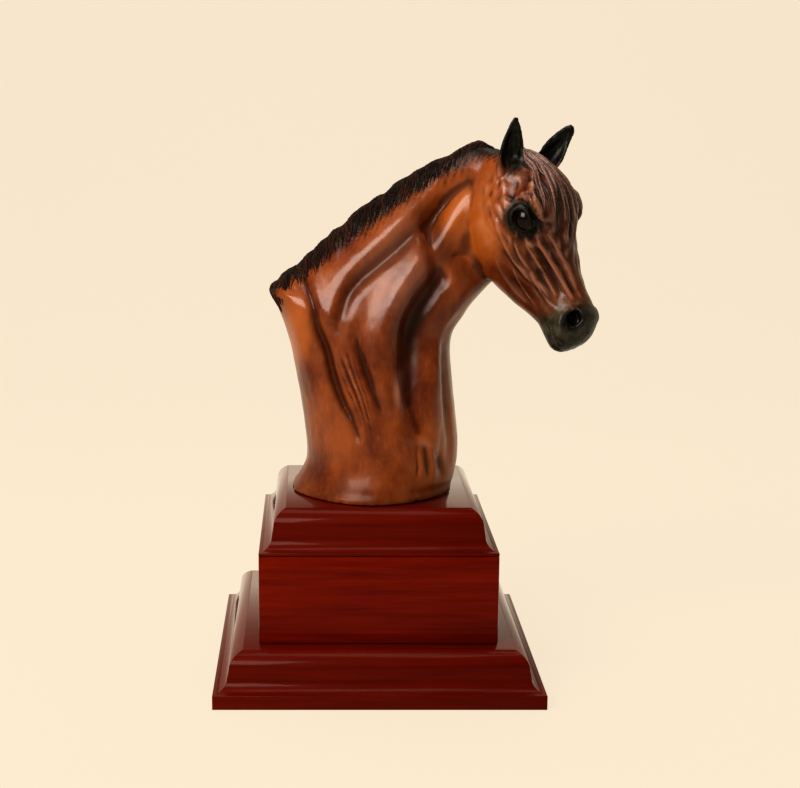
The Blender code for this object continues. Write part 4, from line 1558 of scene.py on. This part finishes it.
        # painted shade along the neck's grooves and creases
        lines = carved(marks.side_view, (
            (1.00, 0.040, bust.JUGULAR), (0.75, 0.014, bust.SHOULDER_CREASE),
            (0.75, 0.022, bust.CREST_GROOVE), (0.60, 0.014, bust.SECOND_CREASE),
            (0.60, 0.012, bust.CHEST_FOLD), (0.60, 0.012, bust.CHEST_FOLD_AHEAD),
        )) * (1 - marks.on_head)
        (jaw_out, jaw_half), (jaw_down, jaw_run) = self.BEHIND_JAW
        behind_jaw = bump_of(out - jaw_out, jaw_half) * bump_of(down - jaw_down, jaw_run)
        hollows = [
            share * eased(marks.skin.hollows(rounds), *depths)
            for share, rounds, depths in self.SHADED_HOLLOWS
        ]
        strands = self.SHADED_STRANDS * eased(-bust.fibres(marks.shares), *self.STRAND_GAPS)
        foot = self.SHADED_FOOT * (1 - eased(marks.shares[:, 2], *self.SHADED_FOOT_LEVELS))
        jaw = self.SHADED_JAW * behind_jaw
        return np.maximum.reduce([lines, strands, *hollows, jaw, foot])

    def umber_paint(self, marks: Marks, wobble: np.ndarray) -> np.ndarray:
        """The umber dusting of the face and the chest.

        Args:
            marks: Where the skin's points lie.
            wobble: A random unevenness.

        Returns:
            How much umber each point has.
        """
        own, shares = marks.own, marks.shares
        slanted = self.UMBER_SLANT * (own[:, 1] + self.UMBER_OUT)
        face = eased(own[:, 0] + self.UMBER_WOBBLE * wobble + slanted, *self.UMBER_FACE)
        chest = eased(shares[:, 0], *self.UMBER_AHEAD) * (1 - eased(shares[:, 2], *self.UMBER_LEVELS))
        return np.maximum(
            self.FACE_UMBER * face * marks.on_head, self.CHEST_UMBER * chest * (1 - marks.on_head)
        )


@dataclass
class Hair:
    """Locks of hair that lie on the skin, gathered into one mesh."""

    skin: BVHTree
    points: list[np.ndarray] = field(default_factory=list)
    faces: list[tuple[int, ...]] = field(default_factory=list)
    tones: list[float] = field(default_factory=list)
    sides: int = 6
    smoothings: int = 2
    swell_start: float = 0.20
    swell_run: float = 0.77
    swell_power: float = 0.8

    def laid(self, guesses: Iterable[np.ndarray]) -> tuple[np.ndarray, np.ndarray]:
        """Lays a line of points on the skin.

        Args:
            guesses: Points near the skin.

        Returns:
            The points on the skin, and its normals there.
        """
        found = [self.skin.find_nearest(Vector(each)) for each in guesses]
        places = np.array([each[0][:] for each in found])
        normals = np.array([each[1][:] for each in found])
        for _ in range(self.smoothings):
            places[1:-1] = 0.25 * (places[:-2] + places[2:]) + 0.5 * places[1:-1]
            normals[1:-1] = 0.25 * (normals[:-2] + normals[2:]) + 0.5 * normals[1:-1]
        for k, place in enumerate(places):
            spot, outward = self.skin.find_nearest(Vector(place))[:2]
            if (Vector(place) - spot).dot(outward) < 0:
                places[k] = spot[:]
        return places, normals / np.linalg.norm(normals, axis=1)[:, None]

    def add_lock(
        self, guesses: Iterable[np.ndarray], width: float, height: float, lift: float, tone: float
    ) -> None:
        """Adds one lock: a flattened tube that narrows to its tip.

        Args:
            guesses: Points near the skin, from root to tip.
            width: Half its width, in metres.
            height: Half its thickness.
            lift: How far its middle stands off the skin.
            tone: Its tone, from 0, black, to 1, brown.
        """
        places, normals = self.laid(guesses)
        count = len(places)
        base = len(self.points)
        for k in range(count):
            run = places[min(k + 1, count - 1)] - places[max(k - 1, 0)]
            length = np.linalg.norm(run)
            if length < 1e-9:
                run = np.array((1.0, 0.0, 0.0))
            across = np.cross(run, normals[k])
            across /= max(np.linalg.norm(across), 1e-9)
            share = k / (count - 1)
            swell = math.sin(math.pi * (self.swell_start + self.swell_run * share)) ** self.swell_power
            middle = places[k] + lift * swell * normals[k]
            for j in range(self.sides):
                turn = 2 * math.pi * j / self.sides
                over = height * math.sin(turn) * normals[k]
                self.points.append(middle + swell * (width * math.cos(turn) * across + over))
                self.tones.append(tone)
        for k in range(count - 1):
            for j in range(self.sides):
                after = (j + 1) % self.sides
                low = base + k * self.sides
                high = low + self.sides
                self.faces.append((low + j, low + after, high + after, high + j))
        self.faces.append(tuple(base + j for j in reversed(range(self.sides))))
        last = base + (count - 1) * self.sides
        self.faces.append(tuple(last + j for j in range(self.sides)))

    def piece(self, name: str) -> Piece:
        """Puts the locks in the scene as one object.

        Args:
            name: The object's name.

        Returns:
            The object.
        """
        mesh = bpy.data.meshes.new(name)
        mesh.from_pydata([tuple(each) for each in self.points], [], self.faces)
        outward = bmesh.new()
        outward.from_mesh(mesh)
        bmesh.ops.recalc_face_normals(outward, faces=outward.faces)
        outward.to_mesh(mesh)
        outward.free()
        layer = mesh.attributes.new("tone", "FLOAT", "POINT")
        layer.data.foreach_set("value", np.asarray(self.tones, np.float32))
        mesh.shade_smooth()
        return new_object(name, mesh)


@dataclass
class Mane:
    """The mane: short waved locks on the near side of the crest, long ones on the far side.

    Two values together are the least and the most of what is drawn at random.
    """

    bust: Bust
    near_locks: int = 300
    far_locks: int = 420
    near_length: float = 0.0185
    far_length: float = 0.040
    near_widths: Span = (0.0004, 0.0009)
    far_widths: Span = (0.0007, 0.0015)
    thickness: float = 0.55
    lift: float = 0.30
    lengths: Span = (0.65, 1.15)
    sweeps: Span = (0.45, 0.8)
    waves: Span = (0.0004, 0.0014)
    wave_turns: float = 0.9
    root_start: float = 0.012
    root_run: float = 0.90
    root_spread: float = 0.4
    shortest_at_poll: Span = (2.2, 2.0)
    root_inset: float = 0.002
    root_rise: float = 0.0015
    outward: float = 0.65
    downward: float = 0.75
    lock_points: int = 12
    seed: int = 21

    def lock_line(
        self, root: float, side: Side, length: float, sweep: float, wave: float, phase: float
    ) -> list[np.ndarray]:
        """The line of one lock, from the crest down one side of the neck.

        Args:
            root: Where it starts, as a share of the crest.
            side: Which side it falls on.
            length: How long it is, in metres.
            sweep: How far back its tip lies, in metres.
            wave: How far it waves, in metres.
            phase: Where its wave starts.

        Returns:
            Points near the skin.
        """
        point, run, across = self.bust.crest.frame_at(root)
        up = np.cross(across, run)
        up *= math.copysign(1, up[2])
        line = []
        for share in np.linspace(0, 1, self.lock_points):
            down = length * share - self.root_inset
            swing = wave * math.sin(2 * math.pi * (self.wave_turns * share + phase))
            line.append(
                point + side.value * self.outward * down * across - self.downward * abs(down) * up
                + self.root_rise * up - (sweep * share + swing) * run
            )
        return line

    def build(self, skin: BVHTree, finish: bpy.types.Material) -> Piece:
        """Makes the mane.

        Args:
            skin: The bust's skin, which it lies on.
            finish: The hair's paint.

        Returns:
            The finished piece.
        """
        draw = np.random.default_rng(self.seed)
        hair = Hair(skin)
        most, less = self.shortest_at_poll
        for side, locks, length, widths in (
            (Side.FAR, self.far_locks, self.far_length, self.far_widths),
            (Side.NEAR, self.near_locks, self.near_length, self.near_widths),
        ):
            for k in range(locks):
                place = k + draw.uniform(-self.root_spread, self.root_spread)
                root = self.root_start + self.root_run * place / locks
                own_length = length * draw.uniform(*self.lengths) * min(1.0, most - less * root)
                line = self.lock_line(
                    root, side, own_length, own_length * draw.uniform(*self.sweeps),
                    draw.uniform(*self.waves), draw.uniform(*ALL),
                )
                width = draw.uniform(*widths)
                tone = draw.uniform(*ALL) ** 2
                hair.add_lock(line, width, self.thickness * width, self.lift * width, tone)
        piece = hair.piece("horse_mane")
        finish_piece(piece, finish)
        return piece


@dataclass
class Forelock:
    """The forelock: thin waved locks from between the ears down over the forehead.

    Two values together are the least and the most of what is drawn at random.
    """

    bust: Bust
    locks: int = 46
    lock_points: int = 20
    middle: float = 0.012
    thick_every: int = 3
    lengths: Span = (0.30, 0.62)
    outer_shorter: float = 0.35
    waves: Span = (0.004, 0.012)
    wave_turn: float = 7
    root_half: float = 0.060
    tip_widening: float = 0.11
    start: float = -0.02
    cast_from: float = 0.30
    thick_widths: Span = (0.0009, 0.0013)
    thin_widths: Span = (0.0004, 0.0007)
    thick_tones: Span = (0.3, 0.9)
    thin_tones: Span = (0, 0.4)
    thickness: float = 0.7
    lift: float = 0.35
    seed: int = 8

    def build(self, skin: BVHTree, finish: bpy.types.Material) -> Piece:
        """Makes the forelock.

        Args:
            skin: The bust's skin, which it lies on.
            finish: The hair's paint.

        Returns:
            The finished piece.
        """
        draw = np.random.default_rng(self.seed)
        hair = Hair(skin)
        head = self.bust.head
        way = -Vector(head.axes[1])
        for k in range(self.locks):
            spread = -1 + 2 * (k + draw.uniform(0.1, 0.9)) / self.locks
            length = draw.uniform(*self.lengths) * (1 - self.outer_shorter * abs(spread))
            wave = draw.uniform(*self.waves)
            phase = draw.uniform(0, 2 * math.pi)
            line = []
            for share in np.linspace(0, 1, self.lock_points):
                across = self.middle + (self.root_half + self.tip_widening * share) * spread
                across += wave * math.sin(self.wave_turn * share + phase)
                start = head.place((self.start + length * share, self.cast_from, across))
                hit = skin.ray_cast(Vector(start), way)[0]
                line.append(np.array(hit) if hit is not None else start)
            thick = k % self.thick_every == 0
            width = draw.uniform(*(self.thick_widths if thick else self.thin_widths))
            tone = draw.uniform(*(self.thick_tones if thick else self.thin_tones))
            hair.add_lock(line, width, self.thickness * width, self.lift * width, tone)
        piece = hair.piece("horse_forelock")
        finish_piece(piece, finish)
        return piece


@dataclass
class Eye:
    """One eye: a glossy ball, cut flat behind, with a cornea that stands a little proud."""

    bust: Bust
    side: Side
    width_share: float = 1.12
    height_share: float = 0.94
    kept_behind: float = 0.30
    pupil_start: float = 0.86
    pupil_edge: float = 0.05
    cornea_start: float = 0.80
    cornea_rise: float = 0.05
    cornea_spread: float = 0.4
    flat_angle: float = math.radians(40)

    def axes(self) -> Matrix:
        """The eye's own axes: along its lids, across them and out of the head."""
        down, out, near = self.bust.head.axes
        slant = self.bust.lid_slant
        along_lid = Vector(math.cos(slant) * down + math.sin(slant) * out)
        outward = Vector(self.side.value * near)
        return Matrix((along_lid, outward.cross(along_lid), outward)).transposed()

    def build(self, finish: bpy.types.Material) -> Piece:
        """Makes the ball, shapes it and sets it in its socket.

        Args:
            finish: The eyes' gloss.

        Returns:
            The finished piece.
        """
        u, v, w = self.bust.eye
        head = self.bust.head
        radius = self.bust.eye_radius * head.size
        centre = head.place((u, v, self.side.value * (w - self.bust.eye_depth)))
        deselect_all()
        bpy.ops.mesh.primitive_uv_sphere_add(segments=48, ring_count=32, radius=radius)
        piece = bpy.context.object
        piece.name = f"horse_eye_{self.side.name.lower()}"
        ahead = np.array([vert.co.z / radius for vert in piece.data.vertices])
        layer = piece.data.attributes.new("pupil", "FLOAT", "POINT")
        pupil = eased(ahead, self.pupil_start, self.pupil_start + self.pupil_edge)
        layer.data.foreach_set("value", pupil.astype(np.float32))
        bpy.ops.object.mode_set(mode="EDIT")
        bpy.ops.mesh.select_all(action="SELECT")
        bpy.ops.mesh.bisect(
            plane_co=(0, 0, -self.kept_behind * radius), plane_no=(0, 0, 1), use_fill=True,
            clear_inner=True,
        )
        bpy.ops.mesh.select_all(action="SELECT")
        bpy.ops.transform.resize(value=(self.width_share, self.height_share, 1))
        pick(piece, Part.POINTS, lambda vert: vert.co.z > self.cornea_start * radius)
        bpy.ops.transform.translate(
            value=(0, 0, self.cornea_rise * radius), use_proportional_edit=True,
            proportional_edit_falloff="SMOOTH", proportional_size=self.cornea_spread * radius,
        )
        bpy.ops.object.mode_set(mode="OBJECT")
        piece.matrix_world = Matrix.Translation(centre) @ self.axes().to_4x4()
        bpy.ops.object.transform_apply(location=True, rotation=True, scale=True)
        bpy.ops.object.shade_smooth_by_angle(angle=self.flat_angle)
        finish_piece(piece, finish)
        return piece


@dataclass
class Plate:
    """A square plinth plate with a moulded edge: a rounded top, a step and a hollow."""

    node: str
    reach: float
    fillet: float
    round_start: float = math.radians(30)
    round_reach: float = 0.46
    round_drop: float = 0.42
    hollow_starts: tuple[float, float] = (0.52, 0.66)
    hollow_size: tuple[float, float] = (0.46, 0.33)
    steps: int = 14
    edge_softness: float = 0.00035

    def profile(self, height: float) -> list[tuple[float, float]]:
        """The moulding from the fillet up.

        Args:
            height: The plate's height, in metres.

        Returns:
            How far out and how high each point of the edge is.
        """
        curve = height - self.fillet
        edge = [(self.reach, self.fillet)]
        for k in range(self.steps, -1, -1):
            turn = math.pi / 2 * k / self.steps
            out = self.hollow_starts[0] + self.hollow_size[0] * (1 - math.cos(turn))
            down = self.hollow_starts[1] + self.hollow_size[1] * math.sin(turn)
            edge.append((self.reach * out, height - curve * down))
        start = self.round_start
        for k in range(self.steps, -1, -1):
            turn = start + (math.pi / 2 - start) * k / self.steps
            out = (math.sin(turn) - math.sin(start)) / (1 - math.sin(start))
            down = (math.cos(start) - math.cos(turn)) / math.cos(start)
            drop = self.round_drop * curve * down
            edge.append((self.round_reach * self.reach * out, height - drop))
        return edge

    def build(self, finish: Mahogany) -> Piece:
        """Raises the plate from its fillet, ring by ring, and softens its edges.

        Args:
            finish: The wood.

        Returns:
            The finished piece.
        """
        low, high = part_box(self.node)
        half = (high.x - low.x) / 2
        edge = self.profile(high.z - low.z)
        piece = start_from(
            bpy.ops.mesh.primitive_cube_add, self.node + "_wood", (0, 0, low.z + self.fillet / 2),
            (2 * half, 2 * half, self.fillet),
        )
        pick(piece, Part.FACES, lambda face: face.normal.z > 0.9)
        before_half = half
        before_up = self.fillet
        for out, up in edge[1:]:
            ring_half = half - self.reach + out
            bpy.ops.mesh.extrude_region_move(
                TRANSFORM_OT_translate={"value": (0, 0, up - before_up)}
            )
            ratio = ring_half / before_half
            bpy.ops.transform.resize(
                value=(ratio, ratio, 1), center_override=(0, 0, low.z + up)
            )
            before_half = ring_half
            before_up = up
        bpy.ops.object.mode_set(mode="OBJECT")
        softened(piece, self.edge_softness)
        finish_piece(piece, finish.material(), [self.node])
        return piece


@dataclass
class Block:
    """The plinth's plain square block."""

    node: str = "plinth_block"
    edge_softness: float = 0.0006

    def build(self, finish: Mahogany) -> Piece:
        """Cuts the block to its size and softens its edges.

        Args:
            finish: The wood.

        Returns:
            The finished piece.
        """
        low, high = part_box(self.node)
        piece = start_from(
            bpy.ops.mesh.primitive_cube_add, self.node + "_wood", (low + high) / 2, high - low
        )
        softened(piece, self.edge_softness)
        finish_piece(piece, finish.material(), [self.node])
        return piece


def softened(piece: Piece, width: float) -> None:
    """Rounds a piece's sharp edges a little and shades the rest smooth.

    Args:
        piece: The object.
        width: How wide the rounding is, in metres.
    """
    modified(
        piece, "soft_edges", "BEVEL", width=width, segments=2, limit_method="ANGLE",
        angle_limit=EDGE_ANGLE,
    )
    bpy.ops.object.shade_smooth_by_angle(angle=SMOOTH_ANGLE)


@dataclass
class Studio:
    """The pale ground, the soft lights and the camera."""

    lens: float = 76.01
    shift: float = 0.1058
    place: Place = (-0.0384, -1.0540, 0.3748)
    tilt: float = math.radians(79.15)
    sensor: float = 36
    nearest: float = 0.01
    ground_reach: float = 16.0
    ground_drop: float = 0.0004
    wall_distance: float = 1.7
    wall_height: float = 2.2
    curve_reach: float = 1.1
    curve_steps: int = 32
    aim: Place = (0.0, 0.0, 0.20)
    room_colour: Colour = (1.0, 0.90, 0.76)
    room_light: float = 0.22

    def ground(self) -> Piece:
        """Lays a floor whose far edge curves up into a backdrop.

        Returns:
            The ground.
        """
        middle = (self.wall_distance - self.ground_reach) / 2
        piece = start_from(
            bpy.ops.mesh.primitive_plane_add, "pale_ground", (0, middle, -self.ground_drop),
            (2 * self.ground_reach, self.ground_reach + self.wall_distance, 1),
        )
        points = piece.data.vertices
        far = self.wall_distance - 0.001
        pick(piece, Part.EDGES, lambda edge: all(points[k].co.y > far for k in edge.vertices))
        bpy.ops.mesh.extrude_region_move(
            TRANSFORM_OT_translate={"value": (0, 0, self.wall_height)}
        )
        bpy.ops.mesh.select_all(action="SELECT")
        bpy.ops.mesh.normals_make_consistent(inside=True)
        bpy.ops.object.mode_set(mode="OBJECT")
        modified(
            piece, "curve", "BEVEL", width=self.curve_reach, segments=self.curve_steps,
            limit_method="ANGLE", angle_limit=EDGE_ANGLE,
        )
        piece.data.shade_smooth()
        piece.data.materials.append(PaleGround().material())
        return piece

    def light(
        self, name: str, place: Place, size: tuple[float, float], power: float,
        colour: Colour = (1.0, 0.97, 0.92),
    ) -> None:
        """Hangs a softbox that faces the bust.

        Args:
            name: The light's name.
            place: Where it hangs.
            size: Its width and height, in metres.
            power: Its power in watts.
            colour: Its colour.
        """
        lamp = bpy.data.lights.new(name, "AREA")
        lamp.shape = "RECTANGLE"
        lamp.size, lamp.size_y = size
        lamp.energy = power
        lamp.color = colour
        made = bpy.data.objects.new(name, lamp)
        made.location = place
        aim = Vector(self.aim) - Vector(place)
        made.rotation_euler = aim.to_track_quat("-Z", "Y").to_euler()
        bpy.context.scene.collection.objects.link(made)

    def lights(self) -> None:
        """Hangs the lights and lights the room."""
        self.light("key_softbox", (-0.80, -0.95, 1.10), (1.0, 0.8), 21.0, (1.0, 0.95, 0.90))
        self.light("top_softbox", (0.1, 0.2, 1.5), (0.8, 0.8), 7.0)
        room = bpy.data.worlds.new("room")
        room.use_nodes = True
        around = room.node_tree.nodes["Background"]
        around.inputs["Color"].default_value = (*self.room_colour, 1)
        around.inputs["Strength"].default_value = self.room_light
        bpy.context.scene.world = room
        bpy.context.scene.view_settings.view_transform = "Standard"
        bpy.context.scene.view_settings.look = "High Contrast"

    def camera(self) -> None:
        """Sets the camera at the photograph's viewing angle."""
        data = bpy.data.cameras.new("photo_camera")
        data.sensor_width = self.sensor
        data.lens = self.lens
        data.shift_x = self.shift
        data.clip_start = self.nearest
        made = bpy.data.objects.new("photo_camera", data)
        made.location = self.place
        made.rotation_euler = (self.tilt, 0, 0)
        bpy.context.scene.collection.objects.link(made)
        bpy.context.scene.camera = made

    def build(self) -> None:
        """Makes the ground, the lights and the camera."""
        self.ground()
        self.lights()
        self.camera()


def main() -> None:
    """Builds the trophy and its studio."""
    logging.basicConfig(level=logging.INFO, format="%(name)s: %(message)s")
    bust = Bust()
    skin_piece = bust.build(BayLacquer())
    surface = BVHTree.FromObject(skin_piece, bpy.context.evaluated_depsgraph_get())
    mane_paint = HairPaint("mane_paint", roughness=0.62, gloss=0.12)
    forelock_paint = HairPaint("forelock_paint", brown=(0.320, 0.150, 0.105), gloss=0.50)
    Mane(bust).build(surface, mane_paint.material())
    Forelock(bust).build(surface, forelock_paint.material())
    gloss = EyeGloss().material()
    for side in Side:
        Eye(bust, side).build(gloss)
    Plate("top_plate", 0.0162, 0.0015).build(Mahogany("top_plate_mahogany", grain_seed=0.37))
    Block().build(Mahogany("block_mahogany", light=(0.190, 0.0125, 0.0002), grain_seed=1.21))
    Plate("base_plate", 0.0177, 0.0085).build(Mahogany("base_plate_mahogany", grain_seed=2.63))
    Studio().build()


if __name__ == "__main__":
    main()
